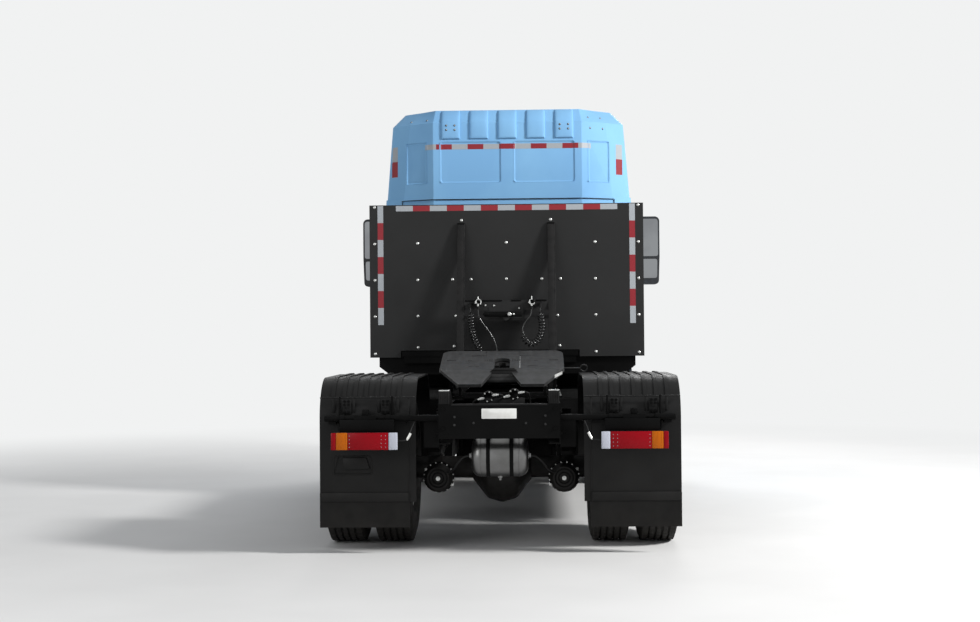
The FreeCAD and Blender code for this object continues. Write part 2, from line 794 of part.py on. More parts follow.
def fifth_wheel_plate():
    """Coupling plate with ramps, front lip, hanging lugs, lock housing and the kingpin throat."""
    half = s.fifth_width / 2
    top = s.fifth_pivot_drop
    under = top - s.fifth_thick
    ramp_y = -s.fifth_flat_rear - s.fifth_ramp * cosine(s.fifth_ramp_angle)
    ramp_fall = s.fifth_ramp * sine(s.fifth_ramp_angle)
    side = extrude("fifth_side", "YZ", [
        (ramp_y, top - ramp_fall), (-s.fifth_flat_rear, top), (s.fifth_front, top),
        (s.fifth_front + 12, top - 14), (s.fifth_front + 12, top - s.fifth_skirt),
        (s.fifth_front - 8, top - s.fifth_skirt), (s.fifth_front - 8, under),
        (-s.fifth_flat_rear, under), (ramp_y, under - ramp_fall),
    ], -half, half)
    plan = extrude("fifth_plan", "XY", [
        (-s.throat_mouth, ramp_y - 5), (-s.throat_half, -s.fifth_flat_rear, 60),
        (-s.throat_half, s.throat_half, s.throat_half - 1), (s.throat_half, s.throat_half, s.throat_half - 1),
        (s.throat_half, -s.fifth_flat_rear, 60), (s.throat_mouth, ramp_y - 5),
        (half - 150, ramp_y - 5), (half, -s.fifth_flat_rear + 20, 60), (half, s.fifth_front + 15, 110),
        (-half, s.fifth_front + 15, 110), (-half, -s.fifth_flat_rear + 20, 60),
        (-half + 150, ramp_y - 5),
    ], -100, 200)
    right_lug = fifth_lug("fifth_lug_right")
    left_lug = mirrored("fifth_lug_left", right_lug)
    low = under - s.lock_depth - 12
    jaw_room = s.throat_half
    walls = extrude("fifth_lock_walls", "XY", [
        (-jaw_room - 55, -90), (-jaw_room, -90), (-jaw_room, 70), (jaw_room, 70), (jaw_room, -90),
        (jaw_room + 55, -90), (jaw_room + 55, 150, 50), (-jaw_room - 55, 150, 50),
    ], low, under + 2)
    beams = [box(f"fifth_rib_{i}", xs, ys, (under - 38, under + 2)) for i, (xs, ys) in enumerate([
        ((jaw_room + 50, s.pivot_spread - s.lug_thick / 2 + 2), (-30, 30)),
        ((-s.pivot_spread + s.lug_thick / 2 - 2, -jaw_room - 50), (-30, 30)),
    ])]
    bore = rod("fifth_pivot_bore", "X", -half, half, s.pivot_radius + s.bearing_gap)
    body = fuse("fifth_body", common("fifth_skin", side, plan), right_lug, left_lug, walls, *beams,
                *release_handle(under - s.release_drop))
    return tilt_fifth(cut("fifth_wheel_plate", body, bore, grease_grooves(top)))


def release_handle(height):
    """The bar that draws the lock open, ending in a ring beyond the plate's right edge."""
    bar_end = s.release_reach - s.release_ring + 4
    bar = rod("release_bar", "X", s.throat_half + 50, bar_end, 6, y=-s.release_back, z=height)
    stay = box("release_stay", (s.pivot_spread - 10, s.pivot_spread + 10),
               (-s.release_back - 12, -s.release_back + 30), (height - 10, height + s.release_drop + 2))
    low, high = -s.release_back - 5, -s.release_back + 5
    ring = cut("release_ring", rod("ring_outer", "Y", low, high, s.release_ring, x=s.release_reach, z=height),
               rod("ring_inner", "Y", low - 5, high + 5, s.release_ring - 8, x=s.release_reach, z=height))
    return bar, stay, ring


def grease_grooves(top):
    """Shallow channels and slots in the coupling face."""
    middle, side_y, front_y = s.throat_half + 76, s.fifth_front - 150, s.fifth_front - 26
    floor = top - s.groove_deep
    inner = box("groove_front", centred(middle), (front_y - 10, front_y), (floor, top + 5))
    step = box("groove_step", (middle - 10, middle), (side_y, front_y), (floor, top + 5))
    wing = box("groove_wing", (middle - 5, s.fifth_width / 4 + 10), (side_y - 10, side_y), (floor, top + 5))
    slot = box("plate_slot", (s.pivot_spread, s.pivot_spread + 64), (-8, 12), (floor - 8, top + 5))
    hole = rod("plate_hole", "Z", floor - 8, top + 5, 12, x=s.fifth_width / 4 + 18, y=-12)
    right = fuse("grooves_right", step, wing, slot, hole)
    return fuse("grease_grooves", inner, right, mirrored("grooves_left", right))


def lock_jaw():
    """Hooked jaw that closes round a trailer's kingpin from ahead."""
    under = s.fifth_pivot_drop - s.fifth_thick
    hold = s.lock_radius
    outer = s.throat_half - 0.3
    points = [
        (-outer, -62), (-hold, -62), (-hold, hold, hold - 0.05), (hold, hold, hold - 0.05),
        (hold, -62), (outer, -62), (outer, 69.7), (-outer, 69.7),
    ]
    return tilt_fifth(extrude("lock_jaw", "XY", points, under - 4 - s.lock_depth, under - 4))


def fifth_wheel_mount():
    """Plate across the rails with two clevis pedestals and their pivot pins."""
    base = s.rail_top + s.mount_plate
    plate = box("mount_plate_slab", centred(rail_outer + 25), (fifth_y - 400, fifth_y + 330),
                (s.rail_top, base))
    gap = 5
    inner = s.pivot_spread - s.lug_thick / 2 - gap
    outer = s.pivot_spread + s.lug_thick / 2 + gap
    pieces = [plate]
    for word, low in (("inner", inner - s.cheek_thick), ("outer", outer)):
        points = [(fifth_y - 160, base - 2), (fifth_y + 160, base - 2), (fifth_y + 44, fifth_pivot_z + 42, 38),
                  (fifth_y - 44, fifth_pivot_z + 42, 38)]
        pieces.append(extrude("pedestal_" + word, "YZ", points, low, low + s.cheek_thick))
    pin = rod("pivot_pin", "X", inner - s.cheek_thick, outer + s.cheek_thick, s.pivot_radius,
              y=fifth_y, z=fifth_pivot_z)
    right = fuse("pedestal_right", *pieces[1:], pin)
    return fuse("fifth_wheel_mount", plate, right, mirrored("pedestal_left", right))


# Battery rack behind the cab

board_front = s.board_y + s.board_thick
notch_top = s.board_bottom + s.notch_rise


def rear_board():
    half = s.board_width / 2
    return extrude("rear_board", "XZ", [
        (-half, s.board_bottom), (-s.notch_left, s.board_bottom), (-s.notch_left, notch_top),
        (s.notch_right, notch_top), (s.notch_right, s.board_bottom), (half, s.board_bottom),
        (half, s.board_top), (-half, s.board_top),
    ], s.board_y, board_front)


def battery_box():
    half = s.battery_width / 2
    back = board_front + s.battery_length - s.board_thick
    return extrude("battery_box", "XY", [
        (-half, board_front), (half, board_front), (half, back, 60), (-half, back, 60),
    ], s.board_bottom + 8, s.board_top - 10)


def rack_base():
    """Sub-rails and tray that carry the battery, with the beam that shows under the board."""
    low = s.rail_top + 110
    high = s.board_bottom + 8
    back = board_front + s.battery_length - 120
    half = s.battery_width / 2 - 50
    tray = extrude("rack_tray", "XZ", [
        (-half + 90, low), (half - 90, low), (half, low + 70), (half, high), (-half, high), (-half, low + 70),
    ], board_front + 10, back)
    beam = box("rack_beam", (12 - s.notch_left, s.notch_right - 12), (s.board_y - 30, board_front + 10),
               (high, high + 46))
    ledge = box("rack_ledge", (30 - s.notch_left, s.notch_right - 30), (board_front - 60, board_front + 20),
                (high - 60, high))
    rails = box("rack_rail", (rail_inner, rail_outer), (board_front + 10, back), (s.rail_top, low + 2))
    body = fuse("rack_body", tray, ledge, rails, mirrored("rack_rail_mirror", rails))
    return fuse("rack_base", body, cut("rack_beam_clear", beam, box_of_battery()))


def box_of_battery():
    half = s.battery_width / 2
    return box("battery_room", centred(half), (board_front, board_front + s.battery_length),
               (s.board_bottom + 8, s.board_top))


foot_y = s.board_y - s.strut_lean


def board_struts():
    xs = (s.strut_spread - s.strut_width / 2, s.strut_spread + s.strut_width / 2)
    foot = s.rail_top + 12
    bar = extrude("strut_bar", "YZ", [
        (foot_y - s.strut_deep / 2, foot), (foot_y + s.strut_deep / 2, foot),
        (s.board_y, s.strut_top - 190), (s.board_y, s.strut_top), (s.board_y - 22, s.strut_top, 16),
    ], *xs)
    plate = box("strut_foot", (rail_inner, xs[1]), (foot_y - 75, foot_y + 75), (s.rail_top, foot))
    return both_sides("board_struts", fuse("strut_right", bar, plate))


rack_y = foot_y + 165
rack_half = s.strut_spread - s.strut_width / 2


def hose_rack():
    """Angle and bar between the struts, with the sockets' housings."""
    top = s.rack_height
    angle = extrude("rack_angle", "YZ", [
        (rack_y, top - 85), (rack_y + 6, top - 85), (rack_y + 6, top - 6), (rack_y + 60, top - 6),
        (rack_y + 60, top), (rack_y, top),
    ], -rack_half, rack_half)
    bar = box("rack_bar", centred(rack_half), (rack_y - 14, rack_y - 6), (top - 160, top - 132))
    web = box("rack_web", centred(150), (rack_y - 6, rack_y + 2), (top - 175, top - 60))
    socket = rod("rack_socket", "Y", rack_y - 62, rack_y - 6, 30, x=0, z=top - 146)
    return fuse("hose_rack", angle, bar, web, socket)


gland_y = rack_y - 50
coil_y = rack_y - 50
fitting_z = s.rack_height - 68


def gladhands():
    """Two coupling heads parked on the rack, and the bosses the coiled hoses start from."""
    pieces = []
    for word, head_x, boss_x in (("left", -240, -305), ("right", 220, 295)):
        head = rod("gladhand_head_" + word, "Y", gland_y - 26, rack_y, 34, x=head_x, z=s.rack_height - 18)
        neck = rod("gladhand_neck_" + word, "Z", fitting_z - 12, s.rack_height - 18, 13, x=head_x, y=gland_y)
        pieces.append(fuse("gladhand_" + word, head, neck))
        through = rod("boss_through_" + word, "Y", coil_y, rack_y, 14, x=boss_x, z=s.rack_height - 30)
        stub = rod("boss_stub_" + word, "Z", fitting_z, s.rack_height - 30, 14, x=boss_x, y=coil_y)
        pieces.append(fuse("boss_" + word, through, stub))
    return group("gladhands", *pieces)


def hose(name, route, radius):
    """A tube along straight runs joined by tangent arcs, as large as the runs allow."""
    points = [FreeCAD.Vector(*(as_size(value).value for value in point)) for point in route]
    edges = []
    here = points[0]
    radii = []
    for before, corner, after in zip(points, points[1:], points[2:]):
        back = before - corner
        ahead = after - corner
        reach = 0.45 * min(back.Length, ahead.Length)
        half = back.getAngle(ahead) / 2
        radii.append(reach * math.tan(half))
        start, crown, end = round_corner(before, corner, after, radii[-1])
        edges.append(Part.LineSegment(here, start).toShape())
        edges.append(Part.Arc(start, crown, end).toShape())
        here = end
    edges.append(Part.LineSegment(here, points[-1]).toShape())
    path = Part.Wire(edges)
    ring = Part.Wire(Part.Circle(points[0], points[1] - points[0], as_size(radius).value).toShape())
    tube = doc.addObject("Part::Feature", name)
    tube.Shape = path.makePipeShell([ring], True, False)
    section = math.pi * as_size(radius).value ** 2
    print(name, "radii", [round(r) for r in radii], "length", round(path.Length),
          "volume ratio", round(tube.Shape.Volume / (section * path.Length), 4))
    return tube


def onward(before, last):
    """The point half a run further on, so that a hose leaves its coil straight."""
    return tuple(as_size(b) + (as_size(b) - a) * 0.5 for a, b in zip(before, last))


def air_hoses():
    """Coiled hoses as their outer shape, and the plain ends that go back up to the heads."""
    top = fitting_z
    neck = fitting_z - 12
    left = [
        (-305, coil_y, top), (-305, coil_y, top - 60), (-300, coil_y - 6, top - 145),
        (-284, coil_y - 10, top - 230), (-256, coil_y - 12, top - 308), (-214, coil_y - 8, top - 372),
    ]
    left_tail = [
        left[-1], onward(*left[-2:]), (-158, coil_y - 4, top - 448), (-104, coil_y - 1, top - 448),
        (-78, coil_y + 2, top - 398), (-84, coil_y + 3, top - 330), (-110, coil_y + 3, top - 262),
        (-152, coil_y + 3, top - 196), (-200, coil_y + 2, top - 132), (-232, coil_y + 1, top - 84),
        (-240, coil_y, neck - 40), (-240, coil_y, neck),
    ]
    right = [
        (295, coil_y, top), (295, coil_y, top - 55), (313, coil_y - 7, top - 130),
        (306, coil_y - 12, top - 212), (274, coil_y - 13, top - 288), (208, coil_y - 12, top - 316),
        (160, coil_y - 10, top - 276), (146, coil_y - 8, top - 215),
    ]
    right_tail = [
        right[-1], onward(*right[-2:]), (152, coil_y - 5, top - 142), (184, coil_y - 3, top - 100),
        (220, coil_y, neck - 46), (220, coil_y, neck),
    ]
    return [
        hose("coil_left", left, s.coil_radius), hose("tail_left", left_tail, s.hose_radius),
        hose("coil_right", right, s.coil_radius), hose("tail_right", right_tail, s.hose_radius),
    ]


# Air tank

tank_y = rear_axle_y - s.tank_behind


def air_tank():
    points = [
        (-s.tank_half, 0), (-s.tank_half, s.tank_radius, 62), (s.tank_half, s.tank_radius, 62),
        (s.tank_half, 0),
    ]
    shell = revolve("tank_shell", points, y=tank_y, z=s.tank_height)
    cock = rod("tank_cock", "Z", s.tank_height - s.tank_radius - 26, s.tank_height - s.tank_radius + 4, 9,
               y=tank_y)
    return fuse("air_tank", shell, cock)


def tank_straps():
    grip = s.tank_radius + 0.3
    top = s.tank_height + grip
    bar_z = s.tank_height + s.tank_radius + 40
    ahead = rear_axle_y - s.tank_behind + s.tank_radius + 60
    ring = revolve("strap_ring", [(66, grip), (66, grip + 4), (92, grip + 4), (92, grip)],
                   y=tank_y, z=s.tank_height)
    tab = box("strap_tab", (66, 92), (tank_y - 12, tank_y + 12), (top + 2, bar_z + 4))
    bar = box("strap_bar", (60, 98), (rail_rear + s.rail_wall, ahead), (bar_z, bar_z + 18))
    return both_sides("tank_straps", fuse("strap_right", ring, tab, bar))


# Rear mudguards, flaps, stays and lamps

guard_rear = rear_axle_y - s.guard_radius
guard_front = rear_axle_y + s.guard_radius
stay_y = guard_rear - 66
stay_z = 924


GUARD_RIBS = 7


def mudguards():
    """Arches over the twin wheels with ribbed crowns; the left one has a stowage recess."""
    wall = s.guard_wall
    top = axle_z + s.guard_radius
    bend = s.guard_bend
    right = extrude("guard_right", "YZ", [
        (guard_rear, s.guard_bottom), (guard_rear + wall, s.guard_bottom),
        (guard_rear + wall, top - wall, bend - wall), (guard_front - wall, top - wall, bend - wall),
        (guard_front - wall, axle_z - 40), (guard_front, axle_z - 40), (guard_front, top, bend),
        (guard_rear, top, bend),
    ], s.guard_inner, s.guard_outer)
    rise = s.guard_rib_rise
    foot = top - bend - 30
    rib_outline = [
        (guard_rear - rise, foot), (guard_rear + 2, foot), (guard_rear + 2, top - 2, bend - 2),
        (guard_front - 2, top - 2, bend - 2), (guard_front - 2, foot), (guard_front + rise, foot),
        (guard_front + rise, top + rise, bend + rise), (guard_rear - rise, top + rise, bend + rise),
    ]
    ribs = []
    for i in range(GUARD_RIBS):
        x = s.guard_outer - 75 - i * s.guard_rib_pitch
        ribs.append(extrude(f"guard_rib_{i}", "YZ", rib_outline, x - s.guard_rib, x))
    below = box("below_seam", (s.guard_inner, s.guard_outer), (guard_rear - 20, guard_front + 20),
                (foot - 5, s.guard_seam))
    crown_ribs = cut("guard_crown_ribs", fuse("guard_ribs", *ribs), below)
    ribbed = fuse("mudguard_right", right, crown_ribs)
    recess = extrude("guard_recess", "XZ", [
        (-1130, 543, 12), (-862, 543, 12), (-905, 663, 12), (-1100, 663, 12),
    ], guard_rear - 5, guard_rear + wall - 5)
    return group("mudguards", ribbed, cut("mudguard_left", mirrored("mudguard_left_blank", ribbed), recess))


def mudflaps():
    flap = box("flap_right", (s.guard_inner + 43, s.guard_outer), (guard_rear - 9.3, guard_rear - 0.3),
               (s.flap_bottom, s.guard_bottom + 60))
    return both_sides("mudflaps", flap)


def mudguard_stays():
    """Tubes out from the rails that hold the mudguards, with the lamps' brackets."""
    lamp_front = -half_length + s.lamp_depth
    tube = rod("stay_rear", "X", rail_outer, s.guard_outer - 45, 21, y=stay_y, z=stay_z)
    front = rod("stay_front", "X", rail_outer, s.guard_outer - 45, 21, y=guard_front + 40, z=stay_z - 110)
    pieces = [tube, front]
    for i, x in enumerate((s.guard_inner + 60, s.guard_outer - 120)):
        pieces.append(box(f"stay_clamp_rear_{i}", (x, x + 50), (stay_y, guard_rear - 0.3), (stay_z - 40, stay_z - 12)))
        pieces.append(box(f"stay_clamp_front_{i}", (x, x + 50), (guard_front + 0.3, guard_front + 40),
                          (stay_z - 126, stay_z - 94)))
    pieces.append(box("lamp_bracket", (s.lamp_inner + 150, s.lamp_inner + 300), (lamp_front, lamp_front + 5),
                      (s.lamp_bottom + 20, stay_z + 21)))
    pieces.append(box("lamp_shelf", (s.lamp_inner + 170, s.lamp_inner + 280), (lamp_front, stay_y),
                      (stay_z - 6, stay_z + 6)))
    right = fuse("stays_right", pieces[0], *pieces[2:3], *pieces[4:5], *pieces[6:])
    ahead = fuse("stays_right_front", pieces[1], pieces[3], pieces[5])
    return group("mudguard_stays", right, mirrored("stays_left", right), ahead,
                 mirrored("stays_left_front", ahead))


def tail_lamps():
    lamp = extrude("lamp_right", "XZ", [
        (s.lamp_inner, s.lamp_bottom, 12), (s.lamp_inner + s.lamp_length, s.lamp_bottom, 12),
        (s.lamp_inner + s.lamp_length, s.lamp_bottom + s.lamp_height, 12),
        (s.lamp_inner, s.lamp_bottom + s.lamp_height, 12),
    ], -half_length, -half_length + s.lamp_depth)
    return both_sides("tail_lamps", lamp)


# Front end and flanks

pivot_y = half_length - 145
pivot_z = s.rail_top - 10


def bumper_shell():
    wall = s.bumper_wall
    half = s.bumper_half
    bend = s.bumper_bend
    rear = half_length - 315
    return extrude("bumper_shell", "XY", [
        (half, rear), (half, half_length, bend), (-half, half_length, bend), (-half, rear),
        (-half + wall, rear), (-half + wall, half_length - wall, bend - wall),
        (half - wall, half_length - wall, bend - wall), (half - wall, rear),
    ], s.bumper_bottom, s.bumper_top)


def lamp_prism(name, gap):
    low, high = s.bumper_bottom + 290 + gap, s.bumper_bottom + 430 - gap
    right = box(name + "_right", (780 + gap, 1130 - gap), (half_length - 400, half_length + 10), (low, high))
    return fuse(name, right, mirrored(name + "_left", right))


def bumper_and_headlamps():
    shell = bumper_shell()
    intake = extrude("bumper_intake", "XZ", [
        (-520, s.bumper_bottom + 90, 40), (520, s.bumper_bottom + 90, 40),
        (470, s.bumper_bottom + 220, 40), (-470, s.bumper_bottom + 220, 40),
    ], half_length - 60, half_length + 10)
    bumper = cut("front_bumper", shell, lamp_prism("lamp_opening", 0), intake)
    return bumper, common("headlamps", shell, lamp_prism("lamp_body", 0.5))


def front_brackets():
    """Rail ends that carry the bumper and hold the pins the cab tilts on."""
    ends = half_length - s.bumper_wall
    arm = box("bumper_arm", (rail_inner + 5, rail_outer - 5), (rail_front, ends), (rail_bottom - 60, rail_bottom + 110))
    lug = extrude("cab_lug", "YZ", [
        (rail_front, s.rail_top - 90), (pivot_y + 5, s.rail_top - 90), (pivot_y + 45, pivot_z + 40, 35),
        (pivot_y - 45, pivot_z + 40, 35), (rail_front, s.rail_top - 20),
    ], rail_inner + 15, rail_outer - 5)
    pin = rod("cab_pin", "X", rail_inner - 42, rail_inner + 20, s.cab_pin_radius, y=pivot_y, z=pivot_z)
    right = fuse("front_bracket_right", lug, pin)
    return group("front_brackets", arm, mirrored("bumper_arm_mirror", arm), right,
                 mirrored("front_bracket_left", right))


def front_fenders():
    """Mudguard arches over the steered wheels, joined to the step blocks ahead of them."""
    radius = s.fender_radius
    wall = s.fender_wall
    rear = front_axle_y - radius
    ahead = front_axle_y + radius
    top = axle_z + radius
    bend = radius - 50
    xs = (s.front_track / 2 - 150, s.cab_sill_half)
    arch = extrude("fender_arch", "YZ", [
        (rear, axle_z - 60), (rear + wall, axle_z - 60), (rear + wall, top - wall, bend - wall),
        (ahead - wall, top - wall, bend - wall), (ahead - wall, axle_z - 60), (ahead, axle_z - 60),
        (ahead, top, bend), (rear, top, bend),
    ], *xs)
    block = extrude("step_block", "YZ", [
        (ahead - 2, 400), (half_length - 335, 400, 40), (half_length - 335, s.cab_bottom - 50),
        (ahead - 2, s.cab_bottom - 50),
    ], *xs)
    pockets = [box(f"step_pocket_{i}", (s.cab_sill_half - 200, s.cab_sill_half + 5),
                   (ahead + 40, half_length - 375), (z, z + 240)) for i, z in enumerate((470, 800))]
    bracket = box("fender_bracket", (rail_outer, xs[0] + 2), (ahead + 180, ahead + 280), (rail_bottom + 20, rail_bottom + 120))
    right = cut("fender_right", fuse("fender_body", arch, block, bracket), *pockets)
    return both_sides("front_fenders", right)


def side_boxes():
    """Plain packs hung outside the rails between the axles."""
    rear = guard_front + 140
    ahead = front_axle_y - s.fender_radius - 180
    middle = (rear + ahead) / 2
    pieces = []
    for word, ys in (("rear", (rear, middle - 25)), ("front", (middle + 25, ahead))):
        pieces.append(extrude("side_pack_" + word, "XZ", [
            (rail_outer, 500), (s.guard_outer - 95, 500, 30), (s.guard_outer - 55, 560, 30),
            (s.guard_outer - 55, s.rail_top - 40, 30), (rail_outer, s.rail_top - 40),
        ], *ys))
    return both_sides("side_boxes", group("side_packs", *pieces))


# Cab

def cab_outline(half, rear, front, flat, inset=0):
    """Plan of the cab at one level: flat rear wall, facets, straight sides, rounded nose."""
    half = half - inset
    rear = rear + inset
    front = front - inset
    flat = flat - inset * 0.2
    facet = half - (s.cab_seam_half - s.cab_facet_half)
    right = [
        (flat, rear, 20), (facet, rear + s.cab_facet_depth, 50), (half, rear + s.cab_corner_depth, 90),
        (half, front - 260, 90), (half - 150, front - 75, 90), (half - 480, front, 90),
    ]
    left = [(-x, y, radius) for x, y, radius in reversed(right)]
    return right + left


cab_front_y = half_length - s.bumper_gap
cab_skirt = s.bumper_top + 20
door_prism_x = (s.cab_belt_half - 150, s.cab_belt_half + 60)


def body_loft(name, inset=0):
    """The lower cab's form, from its skirt to the seam under the roof shell."""
    levels = [
        (cab_skirt, s.cab_sill_half, 0), (s.cab_belt, s.cab_belt_half, 0), (s.cab_seam, s.cab_seam_half, 95),
    ]
    return loft(name, [(z, cab_outline(half, s.cab_rear, cab_front_y - rake, s.cab_flat_half, inset))
                       for z, half, rake in levels])


def roof_loft(name, inset=0):
    flat = s.cab_flat_half
    levels = [
        (s.cab_seam, s.cab_seam_half - 12, s.cab_rear, 105, flat),
        (s.cab_roof_edge - inset * 0.4, s.cab_edge_half, s.cab_rear, 560, flat),
        (s.cab_top - inset, s.cab_top_half, s.cab_rear + 95, 760, flat - 20),
    ]
    return loft(name, [(z, cab_outline(half, rear, cab_front_y - rake, flat_half, inset))
                       for z, half, rear, rake, flat_half in levels])


def cab_roof():
    """High roof shell with ribs that hook over its rear edge and four shallow pressings."""
    outer = roof_loft("roof_outer")
    raised = []
    edge = s.cab_roof_edge
    for i in range(-2, 3):
        centre = i * s.rib_pitch
        xs = (centre - s.rib_width / 2, centre + s.rib_width / 2)
        raised.append(extrude(f"roof_rib_{i + 2}", "YZ", [
            (s.cab_rear - 18, s.rib_bottom, 8), (s.cab_rear - 18, edge + 4, 20),
            (s.cab_rear + 86, s.cab_top - 4, 20), (s.cab_rear + 125, s.cab_top - 4),
            (s.cab_rear + 125, s.cab_top - 60), (s.cab_rear + 20, edge - 60), (s.cab_rear + 20, s.rib_bottom),
        ], *xs))
    low, high = s.press_bottom, s.rib_bottom - 30
    stamps = []
    for word, (inner, outer_edge), bend in (("flat", (60, s.cab_flat_half - 64), 35),
                                            ("facet", (s.cab_flat_half + 60, s.cab_facet_half - 38), 15)):
        stamps.append(extrude("roof_stamp_" + word, "XZ", [
            (inner, low, bend), (outer_edge, low, bend), (outer_edge, high, bend), (inner, high, bend),
        ], s.cab_rear - 50, s.cab_rear + 200))
    right = fuse("roof_stamps", *stamps)
    floor = roof_loft("roof_press_floor", s.press_depth)
    hollows = cut("roof_hollows", fuse("roof_stamps_all", right, mirrored("roof_stamps_left", right)), floor)
    shell = fuse("roof_pressed", outer, *raised)
    return cut("cab_roof", shell, hollows, roof_loft("roof_inner", s.cab_wall))


def window_outline(margin):
    """Side window in the door, raked at its front edge."""
    rear = s.door_rear + s.window_margin + margin
    ahead = s.door_front - s.window_margin - margin
    return [
        (rear, s.window_bottom + margin, 40), (ahead, s.window_bottom + margin, 40),
        (ahead - 40, s.door_top - s.window_margin - margin, 60),
        (rear, s.door_top - s.window_margin - margin, 40),
    ]


def door_outline(gap):
    return [
        (s.door_rear + gap, s.door_sill + gap, 60), (s.door_front - gap, s.door_sill + gap, 60),
        (s.door_front - gap, s.door_top - gap, 60), (s.door_rear + gap, s.door_top - gap, 60),
    ]


screen_low = s.cab_belt - 40
screen_high = s.cab_seam - 90
screen_half = s.cab_belt_half - 150


def screen_outline(margin):
    return [
        (-screen_half + margin, screen_low + margin, 70), (screen_half - margin, screen_low + margin, 70),
        (screen_half - 40 - margin, screen_high - margin, 70), (-screen_half + 40 + margin, screen_high - margin, 70),
    ]


hinge_x = s.cab_belt_half + s.hinge_reach
HINGE_HEIGHTS = (1450, 1880)


def hinge_pin(name, radius):
    return rod(name, "Z", HINGE_HEIGHTS[0] - 50, HINGE_HEIGHTS[-1] + 50, radius, x=hinge_x, y=s.door_front)


def hinges():
    """Barrels on the right-hand door, and the pins and brackets that hold them on the body."""
    barrels = []
    posts = []
    root = s.cab_sill_half - 15
    for i, height in enumerate(HINGE_HEIGHTS):
        barrels.append(rod(f"hinge_barrel_{i}", "Z", height - 30, height + 30, s.hinge_barrel,
                           x=hinge_x, y=s.door_front))
        barrels.append(box(f"hinge_leaf_{i}", (root, hinge_x), (s.door_front - 60, s.door_front - s.door_gap - 1),
                           (height - 28, height + 28)))
        posts.append(rod(f"hinge_pin_{i}", "Z", height - 50, height + 50, s.hinge_pin, x=hinge_x, y=s.door_front))
        for end, low in (("low", height - 52), ("high", height + 32)):
            posts.append(box(f"hinge_bracket_{i}_{end}", (root, hinge_x + s.hinge_pin),
                             (s.door_front - 1, s.door_front + 45), (low, low + 20)))
    return fuse("door_hinge", *barrels), fuse("post_hinge", *posts)


NOSE_SLOTS = (1045, 1115, 1245, 1315, 1385)


def cab_body():
    """Walls of the lower cab, its windscreen, its doors and their glass."""
    outer = body_loft("body_outer")
    shell = cut("body_shell", outer, body_loft("body_inner", s.cab_wall))
    glass_inner = body_loft("glass_inner", s.cab_glass + 8)
    glass_outer = body_loft("glass_outer", 8)
    glass = cut("glass_shell", glass_outer, glass_inner)
    front_y = s.door_front + 60
    rear_y = s.cab_rear + s.cab_corner_depth + 60
    wide = (-s.cab_belt_half - 50, s.cab_belt_half + 50)
    rear_panel = common("rear_panel", shell, box("rear_region", wide, (s.cab_rear - 50, rear_y),
                                                 (s.cab_bottom, s.cab_seam)))
    recess = extrude("rear_recess", "XZ", [
        (-s.recess_half, s.cab_bottom - 10), (s.recess_half, s.cab_bottom - 10),
        (s.recess_half, s.recess_top, 20), (-s.recess_half, s.recess_top, 20),
    ], s.cab_rear - 50, s.cab_rear + 250)
    rear_wall = cut("cab_rear_wall", rear_panel,
                    cut("rear_hollow", recess, body_loft("rear_recess_floor", s.press_depth)))
    nose = common("nose_panel", shell, box("nose_region", wide, (front_y, half_length), (cab_skirt - 5, s.cab_seam)))
    screen_ys = (half_length - 420, half_length)
    slots = [box(f"nose_slot_{i}", centred(s.nose_slot_half), screen_ys, (z, z + s.nose_slot))
             for i, z in enumerate(NOSE_SLOTS)]
    front = cut("cab_front", nose, extrude("screen_opening", "XZ", screen_outline(0), *screen_ys), *slots)
    windscreen = common("windscreen", glass, extrude("screen_prism", "XZ", screen_outline(1), *screen_ys))
    sides = common("side_panels", shell, box("side_region", wide, (rear_y, front_y), (s.cab_bottom, s.cab_seam)))
    opening = extrude("door_opening", "YZ", door_outline(0), *door_prism_x)
    walls = cut("side_walls", sides, opening, mirrored("door_opening_left", opening))
    door_hinge, post_hinge = hinges()
    cab_sides = fuse("cab_sides", walls, post_hinge, mirrored("post_hinge_left", post_hinge))
    door_prism = extrude("door_prism", "YZ", door_outline(s.door_gap), *door_prism_x)
    window = extrude("window_opening", "YZ", window_outline(0), *door_prism_x)
    pane = extrude("window_prism", "YZ", window_outline(1), *door_prism_x)
    leaf = cut("door_leaf", common("door_slab", shell, door_prism), window)
    hole = hinge_pin("hinge_hole", s.hinge_pin + s.bearing_gap)
    door = cut("door_right", fuse("door_whole", leaf, door_hinge), hole)
    door_glass = common("door_right_glass", glass, pane)
    left = [mirrored("door_left", door), mirrored("door_left_glass", door_glass)]
    return [rear_wall, front, windscreen, cab_sides, door, door_glass] + left, outer


def cab_floor():
    """Floor between the walls, and the two lugs the cab tilts on."""
    low = s.cab_bottom
    high = low + s.floor_thick
    half = s.cab_sill_half
    inset = s.cab_wall + 0.3
    slab = extrude("floor_slab", "XY", cab_outline(half, s.cab_rear, cab_front_y, s.cab_flat_half, inset), low, high)
    lug = extrude("floor_lug", "YZ", [
        (pivot_y - 45, pivot_z - 40, 35), (pivot_y + 45, pivot_z - 40, 35), (pivot_y + 20, low + 2),
        (pivot_y - 320, low + 2), (pivot_y - 280, low - 40),
    ], rail_inner - 38, rail_inner - 5)
    bore = rod("floor_bore", "X", rail_inner - 60, rail_inner + 30, s.cab_pin_radius + s.bearing_gap, y=pivot_y, z=pivot_z)
    right = cut("floor_lug_right", lug, bore)
    return fuse("cab_floor", slab, right, mirrored("floor_lug_left", right))


floor_top = s.cab_bottom + s.floor_thick + 0.3
dash_y = cab_front_y - s.dash_depth
seat_y = dash_y - s.seat_to_dash


